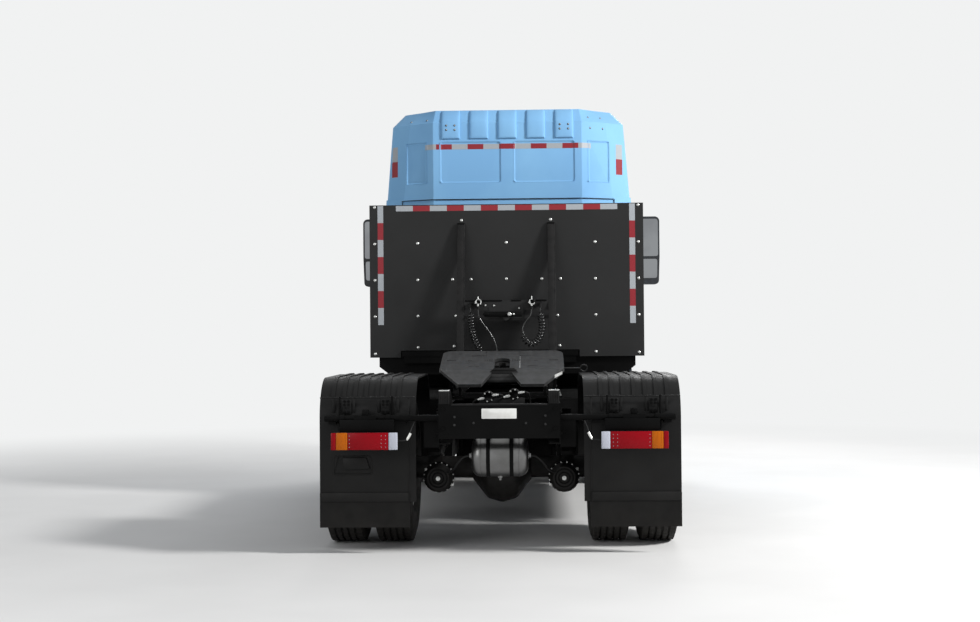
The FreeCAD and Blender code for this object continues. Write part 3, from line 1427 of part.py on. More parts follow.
def seats():
    """Two sprung seats, one behind the wheel and one beside it."""
    half = s.seat_width / 2
    base = box("seat_base", (s.seat_spread - half + 80, s.seat_spread + half - 80), (seat_y - 490, seat_y - 40),
               (floor_top, floor_top + 240))
    cushion = extrude("seat_cushion", "YZ", [
        (seat_y - 530, floor_top + 240), (seat_y, floor_top + 240, 60), (seat_y, floor_top + 370, 50),
        (seat_y - 390, floor_top + 350), (seat_y - 490, floor_top + 1010, 60),
        (seat_y - 630, floor_top + 1010, 60),
    ], s.seat_spread - half, s.seat_spread + half)
    return both_sides("seats", fuse("seat_right", base, cushion))


def bunk():
    rear = s.cab_rear + s.cab_facet_depth + 65
    ahead = s.cab_rear + 640
    return extrude("bunk", "YZ", [
        (rear, floor_top), (ahead, floor_top), (ahead, floor_top + 260, 40),
        (ahead + 20, floor_top + 400, 50), (rear, floor_top + 400, 50),
    ], -s.cab_facet_half + 40, s.cab_facet_half - 40)


def dashboard():
    """Instrument panel across the nose, with the steering column and wheel."""
    half = s.cab_sill_half - 165
    panel = extrude("dash_panel", "YZ", [
        (dash_y + 120, floor_top), (dash_y + 160, floor_top + 350), (dash_y, floor_top + 430, 60),
        (dash_y + 20, floor_top + 610, 60), (dash_y + 200, floor_top + 690), (dash_y + 260, floor_top + 690),
        (dash_y + 260, floor_top),
    ], -half, half)
    column = rod("steering_column", "Z", -s.column_length, 0, 38)
    ring = doc.addObject("Part::Torus", "steering_ring")
    bind(ring, "Radius1", s.steering_radius)
    ring.Radius2 = 14
    spokes = box("steering_spokes", centred(s.steering_radius - 4), centred(30), (-24, -6))
    wheel = fuse("steering_wheel", column, ring, spokes)
    wheel.Placement = FreeCAD.Placement(FreeCAD.Vector(), FreeCAD.Rotation(X_AXIS, 28))
    bind(wheel, "Placement.Base.x", -s.seat_spread)
    bind(wheel, "Placement.Base.y", dash_y - 180)
    bind(wheel, "Placement.Base.z", floor_top + 805)
    return fuse("dashboard", panel, wheel)


def mirrors(outer):
    """Exterior mirror on two arms from the right-hand door, and its twin on the left."""
    reach = s.mirror_reach
    ys = (s.door_front - 190, s.door_front - 30)
    head = extrude("mirror_head", "XZ", [
        (reach - s.mirror_width, 2000, 40), (reach - 10, 2000, 40), (reach, 2300, 60), (reach, 2725, 50),
        (reach - s.mirror_width, 2725, 50),
    ], *ys)
    arms = [rod(f"mirror_arm_{i}", "X", s.cab_seam_half - 10, reach - s.mirror_width / 2, 14, y=s.door_front - 55, z=z)
            for i, z in enumerate((s.door_top - 60, s.window_bottom + 20))]
    right = cut("mirror_right", fuse("mirror_whole", head, *arms), outer)
    return right, mirrored("mirror_left", right)


# The sub-parts, each named as its file

nodes = {}


def add(*pieces):
    for piece in pieces:
        nodes[piece.Label] = piece


for word, side in (("left", -1), ("right", 1)):
    add(frame_rail("frame_rail_" + word, side), *rear_wheels(word, side), *front_wheel(word, side))
    add(knuckle(word, side))
add(crossmembers(), cab_mounts(), front_brackets(), rear_axle(), brake_chambers(), leaf_springs(), front_axle(), *driveline())
add(fifth_wheel_plate(), lock_jaw(), fifth_wheel_mount())
add(rear_board(), battery_box(), rack_base(), board_struts(), hose_rack(), gladhands(), *air_hoses())
add(air_tank(), tank_straps(), mudguards(), mudflaps(), mudguard_stays(), tail_lamps())
add(*bumper_and_headlamps(), front_fenders(), side_boxes())
panels, cab_form = cab_body()
add(*panels, cab_roof(), cab_floor(), seats(), bunk(), dashboard(), *mirrors(cab_form))

doc.recompute()
for thing in doc.Objects:
    if "Invalid" in thing.State or "Error" in thing.State:
        raise RuntimeError(f"{thing.Name} failed: {thing.State}")
os.makedirs("parts", exist_ok=True)
for label, node in nodes.items():
    if node.Shape.isNull() or not node.Shape.isValid():
        raise RuntimeError(f"{label} has no valid shape")
    node.Shape.exportStep(f"parts/{label}.step")
    print(label, len(node.Shape.Solids), round(node.Shape.Volume / 1e6, 3))
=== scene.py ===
import bmesh
import bpy
import math
from mathutils import Matrix, Vector
from mathutils.bvhtree import BVHTree


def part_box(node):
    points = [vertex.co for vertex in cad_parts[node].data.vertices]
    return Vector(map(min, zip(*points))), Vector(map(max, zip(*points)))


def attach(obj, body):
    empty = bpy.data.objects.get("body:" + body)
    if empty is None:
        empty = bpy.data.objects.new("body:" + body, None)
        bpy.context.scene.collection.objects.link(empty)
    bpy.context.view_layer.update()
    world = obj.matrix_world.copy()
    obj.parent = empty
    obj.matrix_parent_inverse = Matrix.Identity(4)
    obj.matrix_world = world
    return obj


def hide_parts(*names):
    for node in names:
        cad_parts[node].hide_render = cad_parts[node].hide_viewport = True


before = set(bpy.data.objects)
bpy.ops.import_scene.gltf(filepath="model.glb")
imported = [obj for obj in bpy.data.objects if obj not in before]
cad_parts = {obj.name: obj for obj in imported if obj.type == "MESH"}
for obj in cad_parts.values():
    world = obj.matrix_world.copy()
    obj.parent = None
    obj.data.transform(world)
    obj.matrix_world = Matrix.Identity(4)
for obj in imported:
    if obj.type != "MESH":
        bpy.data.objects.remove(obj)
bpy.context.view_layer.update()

# Lengths are in millimetres, X to the right, Y forward and Z up, until a helper turns them to metres.
MM = 0.001

PHOTO_WIDTH = 980
SENSOR_WIDTH = 36.0
FOCAL_PIXELS = 1413.3
CAMERA_PLACE = (234.8, -12552.2, 1497.6)
CAMERA_YAW, CAMERA_PITCH, CAMERA_ROLL = 1.757, 0.865, -0.468

TAPE_PITCH = 300
TAPE_THICK = 0.6
# How far behind or ahead of the vehicle a grid starts before it is laid on a surface.
FAR = 6000
# A turned outline that ends this near its axis closes there.
TIP = 0.001


def shown(name, data):
    """An object of the scene that carries the data."""
    made = bpy.data.objects.new(name, data)
    bpy.context.scene.collection.objects.link(made)
    return made


def corners(node):
    """The lowest and highest corner of a CAD node, in millimetres."""
    low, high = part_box(node)
    return low / MM, high / MM


# Camera

def aim_camera():
    """The photograph's view."""
    lens = bpy.data.cameras.new("photo_camera")
    lens.sensor_width = SENSOR_WIDTH
    lens.lens = FOCAL_PIXELS * SENSOR_WIDTH / PHOTO_WIDTH
    camera = shown("photo_camera", lens)
    turn = Matrix.Rotation(math.radians(CAMERA_YAW), 4, "Z")
    turn = turn @ Matrix.Rotation(math.radians(90 + CAMERA_PITCH), 4, "X")
    turn = turn @ Matrix.Rotation(math.radians(CAMERA_ROLL), 4, "Z")
    camera.matrix_world = Matrix.Translation(Vector(CAMERA_PLACE) * MM) @ turn
    bpy.context.scene.camera = camera


# Materials

def linear(code):
    """An sRGB hex colour as the linear values that a shader takes."""
    parts = [int(code[i:i + 2], 16) / 255 for i in (1, 3, 5)]
    return (*(p / 12.92 if p <= 0.04045 else ((p + 0.055) / 1.055) ** 2.4 for p in parts), 1)


def add(tree, kind, sockets=None, **settings):
    """Adds a node with its settings, and its sockets' values or links."""
    made = tree.nodes.new(kind)
    for name, value in settings.items():
        setattr(made, name, value)
    for name, value in (sockets or {}).items():
        if isinstance(value, bpy.types.NodeSocket):
            tree.links.new(value, made.inputs[name])
        else:
            made.inputs[name].default_value = value
    return made


def start(name, sockets):
    """A material with one Principled shader, and the place on the object that its patterns read."""
    material = bpy.data.materials.new(name)
    material.use_nodes = True
    tree = material.node_tree
    tree.nodes.clear()
    shader = add(tree, "ShaderNodeBsdfPrincipled", sockets)
    add(tree, "ShaderNodeOutputMaterial", {"Surface": shader.outputs[0]})
    place = add(tree, "ShaderNodeTexCoord").outputs["Object"]
    return material, tree, shader, place


def patches(tree, place, first, second, size):
    """Two colours in soft patches of a size in millimetres."""
    cloud = add(tree, "ShaderNodeTexNoise", {"Vector": place, "Scale": 1000 / size, "Detail": 4.0})
    share = add(tree, "ShaderNodeMapRange", {"Value": cloud.outputs[0], "From Min": 0.4, "From Max": 0.62})
    mixed = add(tree, "ShaderNodeMix", {0: share.outputs[0], 6: linear(first), 7: linear(second)}, data_type="RGBA")
    return mixed.outputs[2]


def rubbed(tree, place, smooth, rough, size):
    """Roughness between two values in patches of a size in millimetres."""
    cloud = add(tree, "ShaderNodeTexNoise", {"Vector": place, "Scale": 1000 / size, "Detail": 5.0})
    return add(tree, "ShaderNodeMapRange", {"Value": cloud.outputs[0], "From Min": 0.35, "From Max": 0.65,
                                            "To Min": smooth, "To Max": rough}).outputs[0]


def grain(tree, place, size, depth):
    """A bumped normal from grains of a size and depth in millimetres."""
    cloud = add(tree, "ShaderNodeTexNoise", {"Vector": place, "Scale": 1000 / size, "Detail": 2.0})
    return add(tree, "ShaderNodeBump", {"Height": cloud.outputs[0], "Distance": depth * MM}).outputs[0]


def dusty(tree, place, colour, dust, low, high, most):
    """Road dust over a colour, thickest at a low height and gone at a high one, in millimetres."""
    height = add(tree, "ShaderNodeSeparateXYZ", {0: place}).outputs["Z"]
    fall = add(tree, "ShaderNodeMapRange", {"Value": height, "From Min": low * MM, "From Max": high * MM,
                                            "To Min": most, "To Max": 0.0}).outputs[0]
    cloud = add(tree, "ShaderNodeTexNoise", {"Vector": place, "Scale": 9.0, "Detail": 6.0}).outputs[0]
    share = add(tree, "ShaderNodeMath", {0: fall, 1: cloud}, operation="MULTIPLY").outputs[0]
    mixed = add(tree, "ShaderNodeMix", {0: share, 6: colour, 7: linear(dust)}, data_type="RGBA")
    return mixed.outputs[2]


def wired(tree, shader, links):
    """Links outputs to the shader's sockets."""
    for name, output in links.items():
        tree.links.new(output, shader.inputs[name])


def coated(name, sockets, first, second, size, rub=None, bump=None, dust=None):
    """A finish of two near colours in patches; how it is rubbed, grained and dusted, where it is."""
    material, tree, shader, place = start(name, sockets)
    links = {"Base Color": patches(tree, place, first, second, size)}
    if dust:
        links["Base Color"] = dusty(tree, place, links["Base Color"], *dust)
    if rub:
        links["Roughness"] = rubbed(tree, place, *rub)
    if bump:
        links["Normal"] = grain(tree, place, *bump)
    wired(tree, shader, links)
    return material


def coupling_iron():
    """Primed coupling plate: mid grey with greased, rubbed streaks along the trailer's way in."""
    material, tree, shader, place = start("coupling_iron", {"IOR": 1.5, "Metallic": 0.15, "Specular IOR Level": 0.2})
    stretched = add(tree, "ShaderNodeMapping", {"Vector": place, "Scale": (30.0, 3.0, 30.0)}).outputs[0]
    streak = add(tree, "ShaderNodeTexNoise", {"Vector": stretched, "Scale": 1.0, "Detail": 5.0}).outputs[0]
    share = add(tree, "ShaderNodeMapRange", {"Value": streak, "From Min": 0.35, "From Max": 0.7}).outputs[0]
    grey = add(tree, "ShaderNodeMix", {0: share, 6: linear("#292929"), 7: linear("#353535")}, data_type="RGBA")
    wired(tree, shader, {"Base Color": grey.outputs[2], "Roughness": rubbed(tree, place, 0.36, 0.55, 80),
                         "Normal": grain(tree, place, 2.5, 0.06)})
    return material


def brushed_tank():
    """Rolled stainless tank: metal with fine rings brushed round it."""
    material, tree, shader, place = start("brushed_tank", {"Metallic": 1.0})
    rings = add(tree, "ShaderNodeMapping", {"Vector": place, "Scale": (900.0, 6.0, 6.0)}).outputs[0]
    line = add(tree, "ShaderNodeTexNoise", {"Vector": rings, "Scale": 1.0, "Detail": 3.0}).outputs[0]
    rough = add(tree, "ShaderNodeMapRange", {"Value": line, "To Min": 0.22, "To Max": 0.42}).outputs[0]
    bump = add(tree, "ShaderNodeBump", {"Height": line, "Distance": 0.05 * MM}).outputs[0]
    wired(tree, shader, {"Base Color": patches(tree, place, "#787878", "#6a6a69", 120), "Roughness": rough,
                         "Normal": bump})
    return material


def laminated_glass():
    """Laminated safety glass: clear with a faint green-grey body tint."""
    material, tree, shader, place = start("laminated_glass", {
        "Base Color": linear("#dfe9e6"), "Roughness": 0.0, "IOR": 1.5, "Transmission Weight": 1.0})
    wired(tree, shader, {"Normal": grain(tree, place, 400, 0.05)})
    return material


LENS_END = 1125


def banded_lens():
    """Acrylic tail lens in four bands from the outer end: red, amber, red and white over prisms."""
    material, tree, shader, place = start("banded_lens", {
        "Roughness": 0.3, "IOR": 1.49, "Specular IOR Level": 0.15})
    x = add(tree, "ShaderNodeSeparateXYZ", {0: place}).outputs["X"]
    outward = add(tree, "ShaderNodeMath", {0: x}, operation="ABSOLUTE").outputs[0]
    colour = add(tree, "ShaderNodeRGB").outputs[0]
    colour.default_value = linear("#8c0010")
    for reach, code in ((LENS_END - 34, "#b95e08"), (LENS_END - 112, "#8c0010"), (LENS_END - 386, "#bfc2cd")):
        inside = add(tree, "ShaderNodeMath", {0: outward, 1: reach * MM}, operation="LESS_THAN").outputs[0]
        mixed = add(tree, "ShaderNodeMix", {0: inside, 6: colour, 7: linear(code)}, data_type="RGBA")
        colour = mixed.outputs[2]
    # Prism rows 9 mm apart show as faint squares behind the smooth face.
    cells = add(tree, "ShaderNodeTexVoronoi", {"Vector": place, "Scale": 1000 / 9, "Randomness": 0.0},
                distance="CHEBYCHEV").outputs["Distance"]
    bump = add(tree, "ShaderNodeBump", {"Height": cells, "Distance": 0.8 * MM, "Strength": 0.5}).outputs[0]
    shade = add(tree, "ShaderNodeMapRange", {"Value": cells, "From Max": 0.6, "To Min": 0.82, "To Max": 1.0})
    dark = add(tree, "ShaderNodeMix", {0: 1.0, 6: colour, 7: shade.outputs[0]}, data_type="RGBA",
               blend_type="MULTIPLY").outputs[2]
    wired(tree, shader, {"Base Color": dark, "Normal": bump})
    return material


def marker_tape(name, axis, red_from, pitch=TAPE_PITCH):
    """Retroreflective tape in equal red and white lengths, with its cells as a fine honeycomb."""
    material, tree, shader, place = start(name, {"Roughness": 0.45, "Specular IOR Level": 0.4})
    along = add(tree, "ShaderNodeSeparateXYZ", {0: place}).outputs[axis]
    moved = add(tree, "ShaderNodeMath", {0: along, 1: red_from * MM}, operation="SUBTRACT").outputs[0]
    turn = add(tree, "ShaderNodeMath", {0: moved, 1: pitch * MM}, operation="DIVIDE").outputs[0]
    share = add(tree, "ShaderNodeMath", {0: turn}, operation="FRACT").outputs[0]
    white = add(tree, "ShaderNodeMath", {0: share, 1: 0.5}, operation="GREATER_THAN").outputs[0]
    colour = add(tree, "ShaderNodeMix", {0: white, 6: linear("#851b25"), 7: linear("#9da1a5")}, data_type="RGBA")
    cells = add(tree, "ShaderNodeTexVoronoi", {"Vector": place, "Scale": 1000 / 5}).outputs["Distance"]
    shade = add(tree, "ShaderNodeMapRange", {"Value": cells, "From Max": 0.7, "To Min": 0.86, "To Max": 1.05})
    spotted = add(tree, "ShaderNodeMix", {0: 1.0, 6: colour.outputs[2], 7: shade.outputs[0]}, data_type="RGBA",
                  blend_type="MULTIPLY").outputs[2]
    bump = add(tree, "ShaderNodeBump", {"Height": cells, "Distance": 0.05 * MM}).outputs[0]
    wired(tree, shader, {"Base Color": spotted, "Normal": bump})
    return material


def woven_cloth():
    """Woven polyester seat cloth: two greys crossing at a 3 mm pitch, with a soft sheen."""
    material, tree, shader, place = start("woven_cloth", {"Roughness": 0.9, "Sheen Weight": 0.4})
    fine = add(tree, "ShaderNodeMapping", {"Vector": place, "Rotation": (0.0, 0.0, 0.6)}).outputs[0]
    weave = add(tree, "ShaderNodeTexChecker", {"Vector": fine, "Scale": 1000 / 3, "Color1": linear("#33363b"),
                                               "Color2": linear("#3f434a")})
    bump = add(tree, "ShaderNodeBump", {"Height": weave.outputs["Fac"], "Distance": 0.2 * MM}).outputs[0]
    wired(tree, shader, {"Base Color": weave.outputs["Color"], "Normal": bump})
    return material


def amber_lens():
    """Moulded amber acrylic of marker and turn lamps: glossy over small prisms."""
    material, tree, shader, place = start("amber_lens", {"Roughness": 0.18, "IOR": 1.49, "Coat Weight": 0.8})
    cells = add(tree, "ShaderNodeTexVoronoi", {"Vector": place, "Scale": 1000 / 8, "Randomness": 0.0}).outputs[0]
    bump = add(tree, "ShaderNodeBump", {"Height": cells, "Distance": 0.6 * MM}).outputs[0]
    wired(tree, shader, {"Base Color": patches(tree, place, "#d0700c", "#dd8216", 40), "Normal": bump})
    return material


def clear_cover():
    """Clear polycarbonate cover over the headlamps: nearly flawless, with faint moulding waves."""
    material, tree, shader, place = start("clear_cover", {
        "Base Color": linear("#f2f5f6"), "Roughness": 0.02, "IOR": 1.58, "Transmission Weight": 1.0})
    wired(tree, shader, {"Normal": grain(tree, place, 60, 0.05)})
    return material


def bare_plate():
    """Anodised aluminium plate left bare: pale and fine-brushed along its length."""
    material, tree, shader, place = start("anodised_plate", {"Metallic": 0.6})
    lines = add(tree, "ShaderNodeMapping", {"Vector": place, "Scale": (20.0, 400.0, 1200.0)}).outputs[0]
    brushed = add(tree, "ShaderNodeTexNoise", {"Vector": lines, "Scale": 1.0, "Detail": 3.0}).outputs[0]
    rough = add(tree, "ShaderNodeMapRange", {"Value": brushed, "To Min": 0.3, "To Max": 0.5}).outputs[0]
    wired(tree, shader, {"Base Color": patches(tree, place, "#e6e6e3", "#dadad6", 60), "Roughness": rough})
    return material


# Modelling helpers: each works in a bmesh, in millimetres

def mesh_of(work, name):
    """Ends the work as a mesh."""
    mesh = bpy.data.meshes.new(name)
    work.to_mesh(mesh)
    work.free()
    return mesh


FORWARD = Vector((0, 1, 0))
AXES = {"X": Matrix.Identity(4), "Y": Matrix.Rotation(math.pi / 2, 4, "Z"),
        "Z": Matrix.Rotation(-math.pi / 2, 4, "Y")}
PLANES = {"XZ": lambda u, v, w: Vector((u, w, v)), "XY": lambda u, v, w: Vector((u, v, w)),
          "YZ": lambda u, v, w: Vector((w, u, v))}


def soften(work, verts, edge):
    """Rounds every edge at some corners."""
    edges = list({line for vert in verts for line in vert.link_edges})
    bmesh.ops.bevel(work, geom=edges, offset=edge * MM, segments=2, profile=0.5, affect="EDGES",
                    clamp_overlap=True, material=-1)


def block(work, low, high, edge=0.0):
    """A box between two corners, with rounded edges where edge is given."""
    low, high = Vector(low) * MM, Vector(high) * MM
    place = Matrix.Translation((low + high) / 2) @ Matrix.Diagonal((*(high - low), 1))
    verts = bmesh.ops.create_cube(work, size=1, matrix=place)["verts"]
    if edge:
        soften(work, verts, edge)


def bar(work, first, last, radius, sides=16, tip=None):
    """A round bar from one place to another."""
    first, last = Vector(first) * MM, Vector(last) * MM
    run = last - first
    place = Matrix.Translation((first + last) / 2) @ run.to_track_quat("Z", "Y").to_matrix().to_4x4()
    end = radius if tip is None else tip
    bmesh.ops.create_cone(work, cap_ends=True, segments=sides, radius1=radius * MM, radius2=end * MM,
                          depth=run.length, matrix=place)


def turned(work, outline, centre, axis, steps):
    """An outline of (along, radius) places spun about an axis through a centre."""
    old = set(work.verts)
    verts = [work.verts.new((along * MM, 0, radius * MM)) for along, radius in outline]
    edges = [work.edges.new(pair) for pair in zip(verts, verts[1:])]
    bmesh.ops.spin(work, geom=verts + edges, cent=(0, 0, 0), axis=(1, 0, 0), angle=math.tau, steps=steps,
                   use_merge=True, use_duplicate=False)
    bmesh.ops.remove_doubles(work, verts=[vert for vert in work.verts if vert not in old], dist=1e-6)
    fresh = [vert for vert in work.verts if vert not in old]
    bmesh.ops.transform(work, matrix=Matrix.Translation(Vector(centre) * MM) @ AXES[axis], verts=fresh)


def around(count, radius, first=0.0):
    """Even places round a circle, as (u, v) from its middle."""
    turns = [math.tau * k / count + first for k in range(count)]
    return [(radius * math.cos(turn), radius * math.sin(turn)) for turn in turns]


def slab(work, outline, plane, low, high, edge=0.0):
    """A flat outline in a plane, made thick between two levels."""
    spot = PLANES[plane]
    verts = [work.verts.new(spot(u, v, low) * MM) for u, v in outline]
    face = work.faces.new(verts)
    grown = bmesh.ops.extrude_face_region(work, geom=[face])["geom"]
    top = [item for item in grown if isinstance(item, bmesh.types.BMVert)]
    bmesh.ops.translate(work, verts=top, vec=spot(0, 0, high - low) * MM)
    if edge:
        soften(work, verts + top, edge)


def spline_object(name, route, radius, turns):
    """A smooth NURBS line of one spline through metre places, with a round section."""
    curve = bpy.data.curves.new(name, "CURVE")
    curve.dimensions = "3D"
    curve.resolution_u = turns
    curve.bevel_depth = radius
    curve.bevel_resolution = 3
    curve.use_fill_caps = True
    spline = curve.splines.new("NURBS")
    spline.points.add(len(route) - 1)
    for point, place in zip(spline.points, route):
        point.co = (*place, 1)
    spline.order_u = 3
    spline.use_endpoint_u = True
    return shown(name, curve)


def pipe(work, route, radius):
    """A bent round bar along places in millimetres."""
    guide = spline_object("guide", [Vector(place) * MM for place in route], radius * MM, 4)
    work.from_mesh(bpy.data.meshes.new_from_object(guide))
    bpy.data.objects.remove(guide)


def both_sides(work):
    """Copies everything made so far to the other side of the vehicle."""
    whole = work.verts[:] + work.edges[:] + work.faces[:]
    copied = bmesh.ops.duplicate(work, geom=whole)["geom"]
    verts = [item for item in copied if isinstance(item, bmesh.types.BMVert)]
    bmesh.ops.scale(work, verts=verts, vec=(-1, 1, 1))


def set_down(work, mesh, place):
    """Adds a copy of a finished mesh at a place."""
    old = len(work.verts)
    work.from_mesh(mesh)
    work.verts.ensure_lookup_table()
    bmesh.ops.transform(work, matrix=place, verts=work.verts[old:])


def piece(work, name, body, finish, slot, side=1, smooth=35):
    """Turns the work into an object that rides on a body; side -1 makes it for the left."""
    if side < 0:
        bmesh.ops.scale(work, verts=work.verts, vec=(-1, 1, 1))
    bmesh.ops.recalc_face_normals(work, faces=work.faces)
    mesh = mesh_of(work, name)
    mesh.materials.append(finish)
    mesh.shade_smooth()
    mesh.set_sharp_from_angle(angle=math.radians(smooth))
    made = shown(name, mesh)
    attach(made, body)
    return made


def paired(work, *what):
    """Turns the work and its copy on the other side of the vehicle into one object."""
    both_sides(work)
    return piece(work, *what)


def surface_of(node, *pieces):
    """The surface of a CAD node and of pieces on it, to lay things on."""
    shape = bmesh.new()
    shape.from_mesh(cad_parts[node].data)
    for made in pieces:
        shape.from_mesh(made.data)
    tree = BVHTree.FromBMesh(shape)
    shape.free()
    return tree


def stuck_on(name, surface, low, high, finish, body, step=12):
    """A thin strip between two corners in X and Z, laid on a surface seen from behind."""
    wide, tall = high[0] - low[0], high[1] - low[1]
    work = bmesh.new()
    place = Matrix.Translation(Vector(((low[0] + high[0]) / 2, -FAR, (low[1] + high[1]) / 2)) * MM)
    place = place @ Matrix.Rotation(math.pi / 2, 4, "X") @ Matrix.Diagonal((wide * MM / 2, tall * MM / 2, 1, 1))
    bmesh.ops.create_grid(work, x_segments=max(1, round(wide / step)), y_segments=max(1, round(tall / step)),
                          size=1, matrix=place)
    for vert in work.verts:
        vert.co = surface.ray_cast(vert.co, FORWARD)[0] - FORWARD * TAPE_THICK * MM
    return piece(work, name, body, finish, "lamp")


# Finishes, each with what it gives the eye

# A thin clear coat over an even blue, with fine orange peel.
ENAMEL = coated("cab_enamel", {"Roughness": 0.6, "Coat Weight": 0.05, "Coat Roughness": 0.06, "IOR": 1.5,
                               "Specular IOR Level": 0.04}, "#84b6dd", "#7bacd6", 900, bump=(5, 0.012))
# Black powder coat on the frame: even, faintly peeled and dusty towards the road.
POWDER = coated("powder_coat", {"IOR": 1.5, "Specular IOR Level": 0.06}, "#070707", "#0b0b0b", 260,
                (0.34, 0.56, 120), (3, 0.05), ("#2b2926", 150, 900, 0.25))
# Textured black sheet of the rack's rear board: matt, with a wide soft sheen.
BOARD = coated("board_sheet", {"IOR": 1.5, "Specular IOR Level": 0.22}, "#1c1c1c", "#202020", 700,
               (0.5, 0.62, 300), (1.6, 0.05))
# Black paint over sand-cast iron: its pores show as a coarse bump.
CAST = coated("cast_iron_paint", {"IOR": 1.5, "Specular IOR Level": 0.2}, "#0c0c0c", "#131212", 90,
              (0.5, 0.75, 60), (4, 0.35), ("#393530", 120, 900, 0.35))
COUPLING = coupling_iron()
# Carbon-black rubber: dull, a little grey where it has met the road.
TYRE = coated("tyre_rubber", {"IOR": 1.52, "Specular IOR Level": 0.25}, "#121212", "#1a1918", 50,
              (0.72, 0.9, 40), (1.5, 0.08), ("#46413a", 0, 450, 0.35))
# Silver enamel on pressed wheel discs: metal flake under a low gloss.
WHEEL = coated("wheel_enamel", {"Metallic": 0.55}, "#a7a9ab", "#9a9c9e", 70,
               (0.32, 0.5, 60), (1.2, 0.02), ("#5f584d", 100, 900, 0.5))
TANK = brushed_tank()
# Zinc-plated bolts and heads: bright grey metal with a slight bloom.
ZINC = coated("zinc_plate", {"Metallic": 0.85}, "#c9cac8", "#a9aaa8", 12, (0.25, 0.5, 8))
# Moulded polypropylene mudguards: dark grey with a fine leather grain.
GUARD = coated("guard_plastic", {"IOR": 1.49, "Specular IOR Level": 0.18}, "#0d0d0d", "#121212", 180,
               (0.44, 0.6, 90), (1.8, 0.1), ("#34312d", 100, 900, 0.25))
# Sheet rubber flaps: flat black with road film near the hem.
FLAP = coated("flap_rubber", {"IOR": 1.52, "Specular IOR Level": 0.15}, "#0d0d0d", "#111111", 120,
              (0.62, 0.8, 60), (2.2, 0.1), ("#35312c", 150, 480, 0.3))
# Black moulded trim on the cab: satin with a fine spark-eroded grain.
TRIM = coated("trim_plastic", {"IOR": 1.49, "Specular IOR Level": 0.4}, "#1b1c1e", "#232426", 160,
              (0.38, 0.52, 50), (1.4, 0.06))
# Extruded window and door seals: plain soft black.
SEAL = coated("seal_rubber", {"IOR": 1.52, "Specular IOR Level": 0.3}, "#121212", "#1a1a1a", 40, (0.6, 0.75, 20))
GLASS = laminated_glass()
# Silvered mirror: bright metal behind glass.
MIRROR = coated("mirror_glass", {"Metallic": 1.0, "Coat Weight": 1.0, "Coat Roughness": 0.02},
                "#8f9295", "#828488", 300, (0.04, 0.1, 200))
# Polyurethane coiled hose: black with a waxy gloss.
HOSE = coated("coil_polymer", {"IOR": 1.5, "Coat Weight": 0.45, "Coat Roughness": 0.16},
              "#080808", "#0f0f10", 30, (0.22, 0.34, 25))
CLOTH = woven_cloth()
# Grained vinyl on the dashboard and trim: dark, dull and slightly pebbled.
VINYL = coated("soft_vinyl", {"IOR": 1.5, "Roughness": 0.6}, "#2d2f32", "#35373a", 220, bump=(2.4, 0.15))
AMBER = amber_lens()
COVER = clear_cover()
PLATE = bare_plate()
LAMP = banded_lens()
TAPE_TOP = marker_tape("marker_tape_top", "X", -820)
TAPE_SIDE = marker_tape("marker_tape_side", "Z", 2320)
TAPE_CAB = marker_tape("marker_tape_cab", "X", -680, 301.25)
TAPE_CORNER = marker_tape("marker_tape_corner", "Z", 3007)


# Air hoses, as cords

COIL_Y = -390
FITTING_TOP = 1707
# The plugs' necks lie this far from the fittings' tops.
PLUG_NECK = -12
HOSE_THICK = 12
COIL_PITCH = 25
TURN_POINTS = 14
COIL_LEAD = 24
COIL_OPENING = 44
COIL_STEP = 1.5
LEAD_STEPS = 6


def hung(*offsets):
    """Places of a hose: each one's X, and how far it lies in Y and Z from the fittings' tops."""
    return [(x, COIL_Y + y, FITTING_TOP + z) for x, y, z in offsets]


LEFT_COIL = hung((-305, 0, 0), (-305, 0, -60), (-300, -6, -145), (-284, -10, -230), (-256, -12, -308),
                 (-214, -8, -372))
LEFT_TAIL = hung((-193, -6, -404), (-158, -4, -448), (-104, -1, -448), (-78, 2, -398), (-84, 3, -330),
                 (-110, 3, -262), (-152, 3, -196), (-200, 2, -132), (-232, 1, -84), (-240, 0, PLUG_NECK - 40),
                 (-240, 0, PLUG_NECK))
RIGHT_COIL = hung((295, 0, 0), (295, 0, -55), (313, -7, -130), (306, -12, -212), (274, -13, -288),
                  (208, -12, -316), (160, -10, -276), (146, -8, -215))
RIGHT_TAIL = hung((139, -7, -184), (152, -5, -142), (184, -3, -100), (220, 0, PLUG_NECK - 46),
                  (220, 0, PLUG_NECK))


